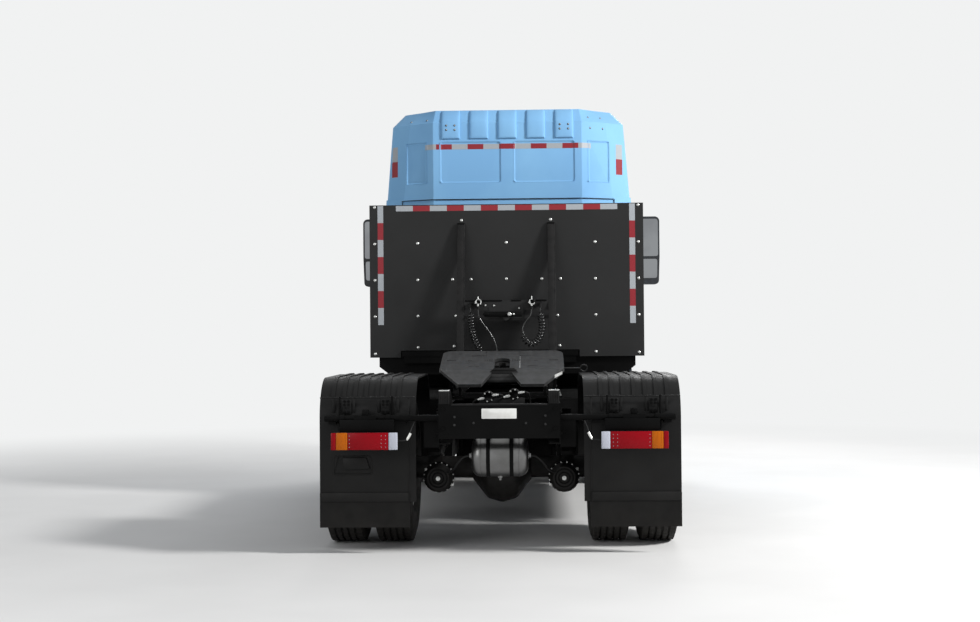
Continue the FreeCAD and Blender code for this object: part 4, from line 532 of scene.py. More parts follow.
def coiled(route, reach_out):
    """Points of a helix about a route: a straight lead, then turns that open and draw close together."""
    guide = spline_object("coil_guide", [Vector(place) * MM for place in route], 0.0, 16)
    line = bpy.data.meshes.new_from_object(guide)
    bpy.data.objects.remove(guide)
    places = [vert.co.copy() for vert in line.vertices]
    reach = [0.0]
    for before, after in zip(places, places[1:]):
        reach.append(reach[-1] + (after - before).length)
    whole, step = reach[-1] / MM, COIL_STEP
    opening = [min(1, max(0, min(place - COIL_LEAD, whole - place) / COIL_OPENING))
               for place in (k * step for k in range(int(whole / step) + 1))]
    turns = [0.0]
    for share in opening[1:]:
        turns.append(turns[-1] + share * step / COIL_PITCH)
    fit = round(turns[-1]) / turns[-1]
    wound, due, i = [], 0.0, 0
    for k, share in enumerate(opening):
        along = k * step * MM
        if turns[k] * fit < due and 0 < share and k < len(opening) - 1:
            continue
        if share == 0 and k % LEAD_STEPS:
            continue
        due = turns[k] * fit + 1 / TURN_POINTS
        while i < len(reach) - 2 and reach[i + 1] < along:
            i += 1
        ahead = (places[i + 1] - places[i]).normalized()
        centre = places[i] + ahead * (along - reach[i])
        side = Vector((0, 1, 0)).cross(ahead).normalized()
        angle = math.tau * turns[k] * fit
        ease = share * share * (3 - 2 * share)
        wound.append(centre + (side * math.cos(angle) + ahead.cross(side) * math.sin(angle)) * reach_out * MM * ease)
    return wound


def lay_hose(name, coil, tail, reach_out):
    """One coiled hose from its fitting to its plug, as a bent cord."""
    route = coiled(coil, reach_out) + [Vector(place) * MM for place in tail]
    made = spline_object(name, route, HOSE_THICK / 2 * MM, 4)
    made.data.materials.append(HOSE)
    side = name.split("_")[-1]
    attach(made, "chassis")
    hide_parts("coil_" + side, "tail_" + side)


aim_camera()
lay_hose("air_hose_left", LEFT_COIL, LEFT_TAIL, 25)
lay_hose("air_hose_right", RIGHT_COIL, RIGHT_TAIL, 28)


# Finishes of the CAD's solids, apart from those that a piece replaces

FINISHES = [
    (POWDER, "frame_rail_left frame_rail_right crossmembers front_brackets fifth_wheel_mount board_struts "
             "rack_base cab_mounts mudguard_stays drive_unit propeller_shaft leaf_springs battery_box tank_straps"),
    (BOARD, "rear_board hose_rack"),
    (CAST, "rear_axle front_axle brake_chambers knuckle_left knuckle_right lock_jaw gladhands"),
    (COUPLING, "fifth_wheel_plate"),
    (WHEEL, "rim_front_left rim_front_right rims_rear_left rims_rear_right"),
    (TANK, "air_tank"),
    (GUARD, "mudguards front_fenders side_boxes front_bumper"),
    (FLAP, "mudflaps"),
    (GLASS, "windscreen door_left_glass door_right_glass"),
    (ENAMEL, "cab_rear_wall cab_front cab_sides cab_roof door_left door_right"),
    (TRIM, "mirror_left mirror_right cab_floor"),
    (VINYL, "dashboard"),
]
for finish, names in FINISHES:
    for name in names.split():
        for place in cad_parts[name].material_slots:
            place.material = finish


# Tyres and wheels

TYRE_WIDE = 279
TYRE_RADIUS = 526
TREAD_BLOCKS = 58
NUT_CIRCLE = 335
REAR_AXLE, FRONT_AXLE = -2305, 1695
WHEELS = [("{}_front_left", "front_wheel_left"), ("{}_front_right", "front_wheel_right"),
          ("{}s_rear_left", "rear_wheels_left"), ("{}s_rear_right", "rear_wheels_right")]

CARCASS = [(-88, 291), (-101, 296), (-112, 312), (-126, 340), (-134, 372), (-134, 378), (-137, 380), (-139.5, 420),
           (-138, 452), (-134, 462), (-134, 467), (-127, 494), (-116, 509), (-60, 510.5), (0, 511)]


def tyre_mesh():
    """One tyre about the X axis: a spun carcass under five ribs of tread blocks."""
    work = bmesh.new()
    outer = CARCASS + [(-along, radius) for along, radius in reversed(CARCASS[:-1])]
    inner = [(84, 300), (118, 400), (104, 482), (-104, 482), (-118, 400), (-84, 300)]
    turned(work, outer + inner + outer[:1], (0, 0, 0), "X", 96)
    arc = math.tau * TYRE_RADIUS / TREAD_BLOCKS
    for rib, (middle, wide, skew) in enumerate(((-96, 40, 0.0), (-46, 32, -0.12), (0, 30, 0.12), (46, 32, -0.12),
                                                (96, 40, 0.0))):
        shape = bmesh.new()
        block(shape, (middle - wide / 2, -arc / 2 + 0.9, 505), (middle + wide / 2, arc / 2 - 0.9, 524.3), 1.2)
        for vert in shape.verts:
            vert.co.y += skew * (vert.co.x - middle * MM)
        one = mesh_of(shape, "tread_block")
        for number in range(TREAD_BLOCKS):
            turn = math.tau * (number + 0.5 * (rib % 2)) / TREAD_BLOCKS
            set_down(work, one, Matrix.Rotation(turn, 4, "X"))
    return mesh_of(work, "tyre")


def fit_tyres():
    """Ribbed tyres in the place of the plain ones, two on each rear wheel."""
    mesh = tyre_mesh()
    for pattern, body in WHEELS:
        node = pattern.format("tyre")
        low, high = corners(node)
        centre = (low + high) / 2
        apart = high.x - low.x - TYRE_WIDE
        work = bmesh.new()
        for shift in sorted({-apart / 2, apart / 2}):
            set_down(work, mesh, Matrix.Translation((centre + Vector((shift, 0, 0))) * MM))
        tyre = piece(work, node + "_treaded", body, TYRE, "tyre")
        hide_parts(node)


def fit_wheel_nuts():
    """Ten washers, nuts and stud ends on each wheel disc."""
    for pattern, body in WHEELS:
        node = pattern.format("rim")
        low, high = corners(node)
        centre = (low + high) / 2
        out = 1 if centre.x > 0 else -1
        surface = surface_of(node)
        work = bmesh.new()
        for u, v in around(10, NUT_CIRCLE / 2, math.tau / 20):
            y, z = centre.y + u, centre.z + v
            x = surface.ray_cast(Vector((out * 2000, y, z)) * MM, Vector((-out, 0, 0)))[0].x / MM
            bar(work, (x - out, y, z), (x + out * 6, y, z), 23, 20)
            bar(work, (x + out * 6, y, z), (x + out * 27, y, z), 18.5, 6, 17.5)
            bar(work, (x + out * 27, y, z), (x + out * 36, y, z), 11, 12, 9.5)
        piece(work, node + "_nuts", body, ZINC, "fitting")


fit_tyres()
fit_wheel_nuts()


# Rear board

BOARD_FACE = -125


def bolt(work, x, y, z, radius, rise):
    """A washer and a hexagon head that stand out rearwards."""
    bar(work, (x, y + 2, z), (x, y - 2.5, z), radius * 1.35, 20)
    bar(work, (x, y, z), (x, y - rise, z), radius, 6, radius * 0.93)


def board_screw(work, x, z):
    """A low round head on the board."""
    turned(work, [(0, 13), (-3.15, 12.09), (-5.6, 8.58), (-7, TIP)], (x, BOARD_FACE, z), "Y", 16)


def dress_board():
    """Screws on the rear board, mostly in pairs, and the three tapes."""
    work = bmesh.new()
    paired = [(1160, z) for z in (2607, 2283, 1963, 1643, 1314)] + [(781, z) for z in (2286, 1963, 1645)]
    for x, z in paired + [(474, 1965), (311, 1965), (447, 1643), (464, 1377), (392, 2486)]:
        board_screw(work, x, z)
    both_sides(work)
    for x, z in ((-781, 1368), (781, 1322), (0, 2287), (0, 1967)):
        board_screw(work, x, z)
    piece(work, "board_screws", "chassis", ZINC, "fitting")
    board = surface_of("rear_board")
    stuck_on("board_tape_top", board, (-970, 2571), (979, 2619), TAPE_TOP, "chassis")
    stuck_on("board_tape_left", board, (-1133, 1570), (-1083, 2620), TAPE_SIDE, "chassis")
    stuck_on("board_tape_right", board, (1083, 1570), (1133, 2620), TAPE_SIDE, "chassis")


dress_board()


# Shapes that follow an outline

def rounded(outline, steps=6, reach=60):
    """Places round an outline of (u, v, radius) corners, with extra ones along its runs."""
    spots = []
    for i, (u, v, radius) in enumerate(outline):
        here = Vector((u, v))
        before = (Vector(outline[i - 1][:2]) - here).normalized()
        after = (Vector(outline[(i + 1) % len(outline)][:2]) - here).normalized()
        back_off = radius / math.tan(before.angle(after) / 2)
        first, last = here + before * back_off, here + after * back_off
        if spots:
            count = int((first - spots[-1]).length / reach)
            spots += [spots[-1].lerp(first, (k + 1) / (count + 1)) for k in range(count)]
        spots += [first.lerp(here, k / steps).lerp(here.lerp(last, k / steps), k / steps) for k in range(steps + 1)]
    count = int((spots[0] - spots[-1]).length / reach)
    spots += [spots[-1].lerp(spots[0], (k + 1) / (count + 1)) for k in range(count)]
    return spots


def framed(low, high, radius):
    """The four (u, v, radius) corners of an upright oblong."""
    return [(*low, radius), (high[0], low[1], radius), (*high, radius), (low[0], high[1], radius)]


def rounded_slab(work, outline, plane, low, high, edge=0.0, steps=4):
    """A slab whose (u, v, radius) corners are rounded."""
    slab(work, [(spot.x, spot.y) for spot in rounded(outline, steps, 400)], plane, low, high, edge)


def ring(work, places, radius):
    """A closed round bead through places in millimetres."""
    curve = bpy.data.curves.new("bead", "CURVE")
    curve.dimensions = "3D"
    curve.bevel_depth = radius * MM
    curve.bevel_resolution = 2
    spline = curve.splines.new("POLY")
    spline.points.add(len(places) - 1)
    for point, place in zip(spline.points, places):
        point.co = (*(Vector(place) * MM), 1)
    spline.use_cyclic_u = True
    guide = bpy.data.objects.new("bead", curve)
    work.from_mesh(bpy.data.meshes.new_from_object(guide))
    bpy.data.objects.remove(guide)


def cast(surface, place, way):
    """Where a line from a place in millimetres meets a surface, in millimetres."""
    return surface.ray_cast(Vector(place) * MM, Vector(way))[0] / MM


def from_behind(surface, x, z):
    """Where a line forward from behind the vehicle meets a surface."""
    return cast(surface, (x, -3000, z), (0, 1, 0))


def from_ahead(surface, x, z):
    """Where a line rearward from before the vehicle meets a surface."""
    return cast(surface, (x, 4000, z), (0, -1, 0))


FLANK_WIDE = 17


def pressed_edge(work, surface, low, high, radius, deep):
    """The rolled flank of a shallow pressing: loops inside its outline, from the wall's level down to its floor."""
    rows = []
    for k in range(7):
        inset = 1 + (FLANK_WIDE - 1) * k / 6
        outline = framed((low[0] + inset, low[1] + inset), (high[0] - inset, high[1] - inset), max(4, radius - inset))
        left = deep * (1 + math.cos(math.pi * k / 6)) / 2
        verts = [work.verts.new((from_behind(surface, *spot) - Vector((0, left + 0.5, 0))) * MM)
                 for spot in rounded(outline, 6, 4000)]
        rows.append([work.edges.new(pair) for pair in zip(verts, verts[1:] + verts[:1])])
    for before, after in zip(rows, rows[1:]):
        bmesh.ops.bridge_loops(work, edges=before + after)


# Cab outside

ROOF_FOOT = 2790
RIB_ACROSS = [(-91, -0.5), (-86, 10), (-79.5, 18.7), (-72, 21.5), (-60, 24), (-20, 24), (20, 24), (60, 24),
              (72, 21.5), (79.5, 18.7), (86, 10), (91, -0.5)]
RIB_ALONG = [(885, 3337.5, 0, -0.5), (885, 3343, 0, 10), (885, 3349, 0, 18.7), (885, 3356, 0, 21.5),
             (885, 3368, 0, 24), (885, 3440, 0, 24), (885, 3500, 0, 24), (892, 3516, 24, 24), (921.5, 3550, 46, 24),
             (950.8, 3590, 50, 24), (974, 3616, 50, 14)]


def rolled_rib(work, middle):
    """A pressed rib's skin with rolled flanks, up the wall and over the roof's rear bend."""
    wide, long = len(RIB_ACROSS) - 1, len(RIB_ALONG) - 1
    made = bmesh.ops.create_grid(work, x_segments=wide, y_segments=long, size=0.5)["verts"]
    for vert in made:
        x, across = RIB_ACROSS[round((vert.co.x + 0.5) * wide)]
        y, z, lean, along = RIB_ALONG[round((vert.co.y + 0.5) * long)]
        rise = min(across, along)
        turn = math.radians(lean)
        vert.co = Vector((middle + x, y - rise * math.cos(turn), z + rise * math.sin(turn))) * MM


def dress_cab_back():
    """Rolled flanks of the pressings and ribs, the creased facets, a dark bead of painted shade round the rear wall's
    recess, screws and tapes.
    """
    roof = surface_of("cab_roof")
    work = bmesh.new()
    for side in (-1, 1):
        for inner, outer, deep, radius in ((60, 644, 8, 34), (768, 975, 11.5, 12)):
            x = sorted((side * inner, side * outer))
            pressed_edge(work, roof, (x[0], 2923), (x[1], 3320), radius, deep)
    edges = piece(work, "roof_pressings", "cab", ENAMEL, "cab_blue", smooth=60)
    work = bmesh.new()
    for i in range(-2, 3):
        rolled_rib(work, i * 270)
    ribs = piece(work, "roof_ribs", "cab", ENAMEL, "cab_blue", smooth=24)
    work = bmesh.new()
    for side in (-1, 1):
        base = [(side * x, z) for x, z in ((796, 2951), (947, 2951), (947, 3292), (796, 3292))]
        verts = [work.verts.new((from_behind(roof, x, z) - Vector((0, 0.6, 0))) * MM) for x, z in base]
        face = work.faces.new(verts)
        top = from_behind(roof, side * 874, 3121) - Vector((0, 5, 0))
        bmesh.ops.poke(work, faces=[face])
        work.verts.ensure_lookup_table()
        work.verts[-1].co = top * MM
    piece(work, "roof_creases", "cab", ENAMEL, "cab_blue", smooth=1)
    wall = surface_of("cab_rear_wall")
    # Painted shade: a dark rubber bead round the rear wall's recess stands in for the shadow gap under its edge.
    work = bmesh.new()
    seam_and_shade_line = [(x, 2767) for x in range(-1020, 1021, 60)] + [(1020, 2700), (1020, 2652)]
    seam_and_shade_line += [(x, 2652) for x in range(1020, -1021, -60)] + [(-1020, 2700)]
    ring(work, [from_behind(wall, x, z) - Vector((0, 1, 0)) for x, z in seam_and_shade_line], 4.5)
    piece(work, "rear_wall_shadow_bead", "cab", SEAL, "cab_trim")
    ribbed = surface_of("cab_roof", ribs)
    washers, heads = bmesh.new(), bmesh.new()
    both = [(500, 3470), (580, 3470), (500, 3428), (580, 3428), (720, 2700), (1000, 2700)]
    for side, rows in ((-1, both + [(768, 3530), (925, 3530)]),
                       (1, both + [(789, 3440), (911, 3440), (770, 3545), (892, 3545)])):
        for x, z in rows:
            spot = from_behind(ribbed if z > ROOF_FOOT else wall, side * x, z)
            turned(washers, [(3, 10), (-2, 10), (-3, 9), (-3, TIP)], spot, "Y", 16)
            turned(heads, [(-2, 6), (-5, 5), (-6.5, TIP)], spot + Vector((3, 0, 2)), "Y", 12)
    piece(washers, "cab_washers", "cab", SEAL, "cab_trim")
    piece(heads, "cab_screws", "cab", ZINC, "fitting")
    dressed = surface_of("cab_roof", edges, ribs)
    stuck_on("cab_tape", dressed, (-787, 3245), (796, 3295), TAPE_CAB, "cab", 6)
    stuck_on("cab_tape_left", dressed, (-1127, 3005), (-1066, 3300), TAPE_CORNER, "cab")
    stuck_on("cab_tape_right", dressed, (1042, 3005), (1106, 3300), TAPE_CORNER, "cab")


SCREEN = [(-1069, 1946, 66), (1069, 1946, 66), (1030, 2695, 66), (-1030, 2695, 66)]
WINDOW = [(1941, 2036, 36), (2709, 2036, 36), (2670, 2569, 56), (1941, 2569, 36)]


def fit_seals():
    """Rubber beads round the windscreen and the door windows."""
    surface = surface_of("windscreen")
    work = bmesh.new()
    ring(work, [from_ahead(surface, *spot) for spot in rounded(SCREEN)], 11)
    piece(work, "screen_seal", "cab", SEAL, "cab_trim")
    surface = surface_of("door_right_glass")
    spots = [cast(surface, (2000, spot.x, spot.y), (-1, 0, 0)) for spot in rounded(WINDOW)]
    for side, body in ((1, "door_right"), (-1, "door_left")):
        work = bmesh.new()
        ring(work, spots, 10)
        piece(work, body + "_seal", body, SEAL, "cab_trim", side)


def fit_wipers():
    """Two wipers parked along the foot of the windscreen."""
    glass = surface_of("windscreen")
    nose = surface_of("cab_front")
    work = bmesh.new()
    for pivot, low, high in ((-150, -960, -250), (700, -70, 640)):
        foot = from_ahead(nose, pivot, 1905)
        turned(work, [(0, 24), (12, 24), (20, 16), (22, TIP)], foot - Vector((0, 4, 0)), "Y", 20)
        rest = [from_ahead(glass, low + (high - low) * k / 8, 1982 + 4 * k) + Vector((0, 12, 0)) for k in range(9)]
        pipe(work, rest, 6)
        pipe(work, [place - Vector((0, 7, 0)) for place in rest], 4)
        middle = rest[4] + Vector((0, 8, 0))
        pipe(work, [foot + Vector((0, 18, 0)), foot.lerp(middle, 0.4) + Vector((0, 14, 0)), middle], 7)
    piece(work, "wipers", "cab", TRIM, "cab_trim")


def fit_nose():
    """Mesh behind the nose slots, the slots' frames and the grab handles over them."""
    work = bmesh.new()
    block(work, (-690, 3058, 1030), (690, 3066, 1432), 2)
    for i in range(-22, 23):
        block(work, (i * 30 - 3, 3066, 1036), (i * 30 + 3, 3071, 1426))
    for z in range(1050, 1430, 24):
        block(work, (-686, 3066, z - 2), (686, 3072, z + 2))
    piece(work, "nose_mesh", "cab", TRIM, "cab_trim")
    work = bmesh.new()
    for z in (1045, 1115, 1245, 1315, 1385):
        ring(work, [(spot.x, 3105, spot.y) for spot in rounded(framed((-644, z - 4), (644, z + 40), 12), 4, 400)], 5)
    for x in (-1, 1):
        pipe(work, [(x * 560, 3100, 1500), (x * 560, 3128, 1500), (x * 555, 3132, 1508), (x * 380, 3132, 1508),
                    (x * 372, 3128, 1500), (x * 372, 3100, 1500)], 9)
    piece(work, "nose_trim", "cab", TRIM, "cab_trim")


def fit_visor():
    """Sun visor over the windscreen, and the air vanes round the nose's corners."""
    work = bmesh.new()
    y = from_ahead(surface_of("cab_roof"), 0, 2826).y
    profile = [(y + 34, 2850), (y + 84, 2824), (y + 118, 2762), (y + 111, 2758), (y + 78, 2816), (y + 32, 2841)]
    slab(work, profile, "YZ", -1010, 1010, 2)
    for x in (-720, 0, 720):
        block(work, (x - 16, y - 8, 2828), (x + 16, y + 44, 2842), 3)
    for side in (-1, 1):
        outline = [(1088, 3016), (1140, 2966), (1180, 2916), (1208, 2869), (1217, 2874), (1190, 2923), (1149, 2974),
                   (1097, 3025)]
        slab(work, [(side * x, y) for x, y in outline], "XY", 1290, 1850, 2)
        for z in (1340, 1570, 1800):
            inner, outer = sorted((side * 1120, side * 1150))
            block(work, (inner, 2920, z - 12), (outer, 2965, z + 12), 3)
    piece(work, "visor_vanes", "cab", TRIM, "cab_trim")


def fit_headlamps():
    """Each headlamp: a dark housing with two bright bowls, an amber lamp and a clear cover."""
    cover = surface_of("headlamps")
    for side, word in ((1, "right"), (-1, "left")):
        work = bmesh.new()
        block(work, (782, 3000, 642), (1128, 3062, 778), 3)
        block(work, (900, 3060, 650), (906, 3085, 770), 1)
        piece(work, "headlamp_housing_" + word, "chassis", TRIM, "cab_trim", side)
        work = bmesh.new()
        for x in (842, 966):
            turned(work, [(0, 14), (12, 34), (30, 48), (46, 53), (48, 56), (44, 56), (0, 20)], (x, 3062, 710), "Y", 40)
            turned(work, [(0, 18), (16, 18), (24, 13), (28, TIP)], (x, 3064, 710), "Y", 28)
        piece(work, "headlamp_bowls_" + word, "chassis", MIRROR, "fitting", side)
        work = bmesh.new()
        block(work, (1036, 3055, 652), (1112, 3072, 768), 6)
        piece(work, "headlamp_lamps_" + word, "chassis", AMBER, "headlamp", side)
        work = bmesh.new()
        place = Matrix.Translation(Vector((side * 955, FAR, 710)) * MM) @ Matrix.Rotation(math.pi / 2, 4, "X")
        bmesh.ops.create_grid(work, x_segments=28, y_segments=10, size=1,
                              matrix=place @ Matrix.Diagonal((172 * MM, 67 * MM, 1, 1)))
        for vert in work.verts:
            vert.co = cover.ray_cast(vert.co, -FORWARD)[0] - FORWARD * 4 * MM
        bmesh.ops.solidify(work, geom=work.faces[:], thickness=3 * MM)
        lens = piece(work, "headlamp_cover_" + word, "chassis", COVER, "headlamp")
    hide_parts("headlamps")


def fit_bumper():
    """Mesh and a bare plate in the bumper's intake, and the fog lamps."""
    work = bmesh.new()
    block(work, (-545, 3096, 425), (545, 3104, 585), 2)
    for i in range(-18, 19):
        block(work, (i * 30 - 3, 3104, 430), (i * 30 + 3, 3112, 580))
    for z in (462, 500, 540):
        block(work, (-540, 3104, z - 4), (540, 3114, z + 4), 1)
    piece(work, "bumper_mesh", "chassis", TRIM, "cab_trim")
    work = bmesh.new()
    rounded_slab(work, framed((-260, 452), (260, 562), 8), "XZ", 3116, 3119, 0.8)
    piece(work, "front_plate", "chassis", PLATE, "fitting")
    work = bmesh.new()
    for x in (-1100, -700, 700, 1100):
        y = 3145 if abs(x) < 975 else 3090
        turned(work, [(-40, 30), (-8, 30), (-6, 26), (-6, TIP)], (x, y - 4, 500), "Y", 24)
    piece(work, "fog_lamps", "chassis", MIRROR, "fitting")


def fit_doors():
    """Door handles in their recess plates, and the locks under them."""
    wall = surface_of("door_right")
    for side, body in ((1, "door_right"), (-1, "door_left")):
        work = bmesh.new()
        x = cast(wall, (2000, 1990, 1880), (-1, 0, 0)).x
        rounded_slab(work, framed((1885, 1845), (2075, 1915), 18), "YZ", x - 4, x + 3, 1.5, 5)
        for y in (1900, 2040):
            block(work, (x + 3, y, 1866), (x + 26, y + 20, 1894), 4)
        block(work, (x + 16, 1898, 1862), (x + 30, 2062, 1898), 6)
        bar(work, (x + 2, 1960, 1822), (x + 9, 1960, 1822), 12, 20)
        piece(work, body + "_handle", body, TRIM, "cab_trim", side)


def fit_mirrors():
    """Silvered glasses in both mirror heads, wide view above and close view below."""
    y = corners("mirror_right")[0].y
    for side, body in ((1, "door_right"), (-1, "door_left")):
        work = bmesh.new()
        for outline in ([(1372, 2300, 26), (1574, 2300, 26), (1574, 2700, 34), (1372, 2700, 34)],
                        [(1372, 2066, 26), (1562, 2066, 26), (1566, 2270, 26), (1372, 2270, 26)]):
            rounded_slab(work, outline, "XZ", y - 0.5, y + 3, steps=6)
        piece(work, body + "_mirror_glass", body, MIRROR, "glass_pane", side)


def fit_steps():
    """Serrated treads in the step pockets."""
    work = bmesh.new()
    for z in (470, 800):
        block(work, (1020, 2352, z), (1200, 2766, z + 5), 1)
        for k in range(9):
            y = 2378 + k * 45
            block(work, (1030, y, z + 5), (1190, y + 12, z + 12), 2)
    paired(work, "step_treads", "chassis", ZINC, "fitting")


def fit_roof_lamps():
    """Five amber marker lamps along the roof's front slope."""
    work = bmesh.new()
    roof = surface_of("cab_roof")
    for x in (-760, -380, 0, 380, 760):
        spot = from_ahead(roof, x, 3200)
        block(work, spot + Vector((-55, -20, -16)), spot + Vector((55, 14, 16)), 9)
    piece(work, "roof_markers", "cab", AMBER, "headlamp")


for fit in (fit_seals, fit_wipers, fit_nose, fit_visor, fit_headlamps, fit_bumper, fit_doors, fit_mirrors, fit_steps,
            dress_cab_back, fit_roof_lamps):
    fit()


# Coupling plate

COUPLING_PIVOT = (0, -1920, 1172)
COUPLING_TILT = 13.5
PLATE_TOP = 120


def on_coupling(work):
    """Moves what was made level about the pivot to the coupling's rest tilt."""
    place = Matrix.Translation(Vector(COUPLING_PIVOT) * MM) @ Matrix.Rotation(math.radians(COUPLING_TILT), 4, "X")
    bmesh.ops.transform(work, matrix=place, verts=work.verts)


def fit_coupling():
    """Grease lines, slots, the throat's bed and a bare plate on the coupling plate, and the pins' caps."""
    top = PLATE_TOP
    work = bmesh.new()
    slab(work, [(-54, 1238), (91, 1238), (192, 1132), (-171, 1132)], "XZ", -2262, -2254, 3)
    for k in range(4):
        block(work, (-80 - 24 * k, -2266, 1222 - 26 * k), (110 + 24 * k, -2260, 1226 - 26 * k), 1)
    piece(work, "throat_bed", "fifth_wheel", CAST, "cast_black")
    work = bmesh.new()
    slab(work, [(-88, 1194), (120, 1194), (186, 1140), (-160, 1140)], "XZ", -2265, -2260, 1)
    piece(work, "throat_plate", "fifth_wheel", COUPLING, "cast_black")
    work = bmesh.new()
    slab(work, [(383.8, -392.7), (440.2, -291.3), (442, -292.3), (385.6, -393.7)], "XY", 87, 109)
    on_coupling(work)
    piece(work, "coupling_plate", "fifth_wheel", PLATE, "fitting")
    work = bmesh.new()
    for low, high, y in ((-236, -125, 138), (-129, 137, 258), (137, 246, 129), (-236, -118, 146), (128, 246, 137)):
        block(work, (low, y - 5, top - 2), (high, y + 5, top + 0.5), 0.4)
    for x, y in ((-380, 11), (390, -9)):
        block(work, (x - 33, y - 12, top - 2), (x + 33, y + 12, top + 0.5), 0.4)
    for x, y in ((-243, -8), (251, -17)):
        turned(work, [(-2, 14), (0.6, 14), (0.8, 12), (0.8, TIP)], (x, y, top), "Z", 20)
    # Crescent marks where a trailer's wear plate has turned.
    for x, y, side in ((-211, -172, -1), (225, -165, 1)):
        for k in range(9):
            turn = math.radians(205 + 16 * k)
            spot = (x + side * 36 * math.cos(turn), y - 30 * math.sin(turn) - 30)
            block(work, (spot[0] - 9, spot[1] - 6, top - 1), (spot[0] + 9, spot[1] + 6, top + 0.5), 0.4)
    for side in (-1, 1):
        for k in range(4):
            x = side * (78 + 17 * k)
            block(work, (x - 4, -40 + 8 * k, top - 1), (x + 4, 40 - 12 * k, top + 1.5), 0.8)
    on_coupling(work)
    piece(work, "coupling_marks", "fifth_wheel", SEAL, "cast_black")
    work = bmesh.new()
    block(work, (130, -225, top - 1), (134, 110, top + 1), 0.4)
    on_coupling(work)
    piece(work, "coupling_wear", "fifth_wheel", ZINC, "fitting")
    work = bmesh.new()
    for side in (-1, 1):
        bar(work, (side * 374, 0, 0), (side * 402, 0, 0), 31, 24, 28)
        for y, z in around(3, 19, 0.4):
            bar(work, (side * 400, y, z), (side * 410, y, z), 7, 6)
    on_coupling(work)
    piece(work, "coupling_caps", "chassis", ZINC, "fitting")
    work = bmesh.new()
    low, high = corners("fifth_wheel_mount")
    for side in (-1, 1):
        for k in range(7):
            y = low.y + 45 + k * (high.y - low.y - 90) / 6
            bar(work, (side * 418, y, 1034), (side * 418, y, 1037), 19, 18)
            bar(work, (side * 418, y, 1037), (side * 418, y, 1052), 14, 6, 13)
    piece(work, "mount_bolts", "chassis", ZINC, "fitting")


# Frame tail, tank and brakes

RAIL_END = -3105


def fit_tail():
    """Bare plate, bolts and lip on the closing plate, ribbed faces and bright caps on the guide ramps."""
    back = RAIL_END - 10
    work = bmesh.new()
    rounded_slab(work, framed((-117, 921), (117, 989), 6), "XZ", back - 3, back + 1, 0.8)
    piece(work, "bare_plate", "chassis", PLATE, "fitting")
    work = bmesh.new()
    for x, z in ((-298, 934), (-299, 880), (-171, 893), (179, 891), (309, 883), (309, 940)):
        bolt(work, x, back, z, 6, 6)
    piece(work, "tail_bolts", "chassis", COUPLING, "cast_black")
    work = bmesh.new()
    for x in (-375, 375):
        for z in (856, 988):
            bolt(work, x, back, z, 12, 11)
    piece(work, "rail_end_bolts", "chassis", POWDER, "chassis_black")
    work = bmesh.new()
    block(work, (-322, back - 4, 1009), (322, back + 12, 1022), 3)
    for side in (-1, 1):
        block(work, (side * 367 - 36, back - 3, 1020), (side * 367 + 36, back + 4, 1106), 2)
        for k in range(5):
            x = side * 367 - 28 + 14 * k
            block(work, (x - 2.5, back - 6, 1024), (x + 2.5, back, 1100), 1)
    piece(work, "tail_strips", "chassis", CAST, "cast_black")
    work = bmesh.new()
    for side in (-1, 1):
        block(work, (side * 367 - 36, back - 5, 1106), (side * 367 + 36, back + 40, 1113), 3)
    piece(work, "ramp_wear", "chassis", ZINC, "fitting")


def fit_valves():
    """Two valves on a bracket between the coupling and the tail, with their fittings and pipes."""
    dark, bright = bmesh.new(), bmesh.new()
    block(dark, (-150, -2706, 985), (170, -2700, 1040), 2)
    for x, z in ((-84, 1050), (96, 1066)):
        turned(dark, [(-26, 32), (-20, 40), (18, 40), (26, 30), (30, TIP)], (x, -2690, z), "Y", 28)
        for u, v in around(6, 33, 0.3):
            spot = Vector((x + u, -2718, z + v))
            bar(bright, spot, spot - Vector((0, 9, 0)), 5.5, 6)
        for off, up in ((-46, -12), (46, 8)):
            spot = Vector((x + off * 0.7, -2712, z + up))
            reach = Vector((off * 0.6, -6, up * 0.5))
            bar(bright, spot, spot + reach, 10, 6)
            bar(bright, spot + reach, spot + reach * 1.5, 7, 12)
        pipe(dark, [(x - 60, -2716, z - 16), (x - 96, -2718, z - 22), (x - 118, -2700, z - 60),
                    (x - 118, -2660, z - 110)], 6)
        pipe(dark, [(x + 60, -2716, z + 12), (x + 92, -2718, z + 18), (x + 110, -2690, z - 10),
                    (x + 112, -2640, z - 80)], 6)
    piece(dark, "valve_bodies", "chassis", CAST, "cast_black")
    piece(bright, "valve_fittings", "chassis", ZINC, "fitting")


def fit_tank():
    """Weld beads, end ports and drain on the air tank, and the pipes to the brake chambers."""
    low, high = corners("air_tank")
    centre = Vector((0, (low.y + high.y) / 2, 655))
    work = bmesh.new()
    for x in (-129, 129):
        turned(work, [(x - 5, 138), (x - 2, 141), (x + 2, 141), (x + 5, 138)], centre, "X", 64)
    for side in (-1, 1):
        bar(work, centre + Vector((side * 186, 0, 0)), centre + Vector((side * 197, 0, 0)), 24, 24)
        bar(work, centre + Vector((side * 197, 0, 0)), centre + Vector((side * 210, 0, 0)), 16, 6)
    bar(work, centre + Vector((0, -30, -128)), centre + Vector((0, -30, -146)), 16, 6)
    piece(work, "tank_fittings", "chassis", TANK, "tank_steel")
    work = bmesh.new()
    for side in (-1, 1):
        pipe(work, [centre + Vector((side * x, y, z)) for x, y, z in
                    ((205, 0, 0), (232, 0, 2), (262, 8, -16), (300, 60, -60), (330, 140, -112), (372, 215, -135),
                     (402, 240, -138))], 6.5)
    piece(work, "brake_pipes", "chassis", SEAL, "hose")


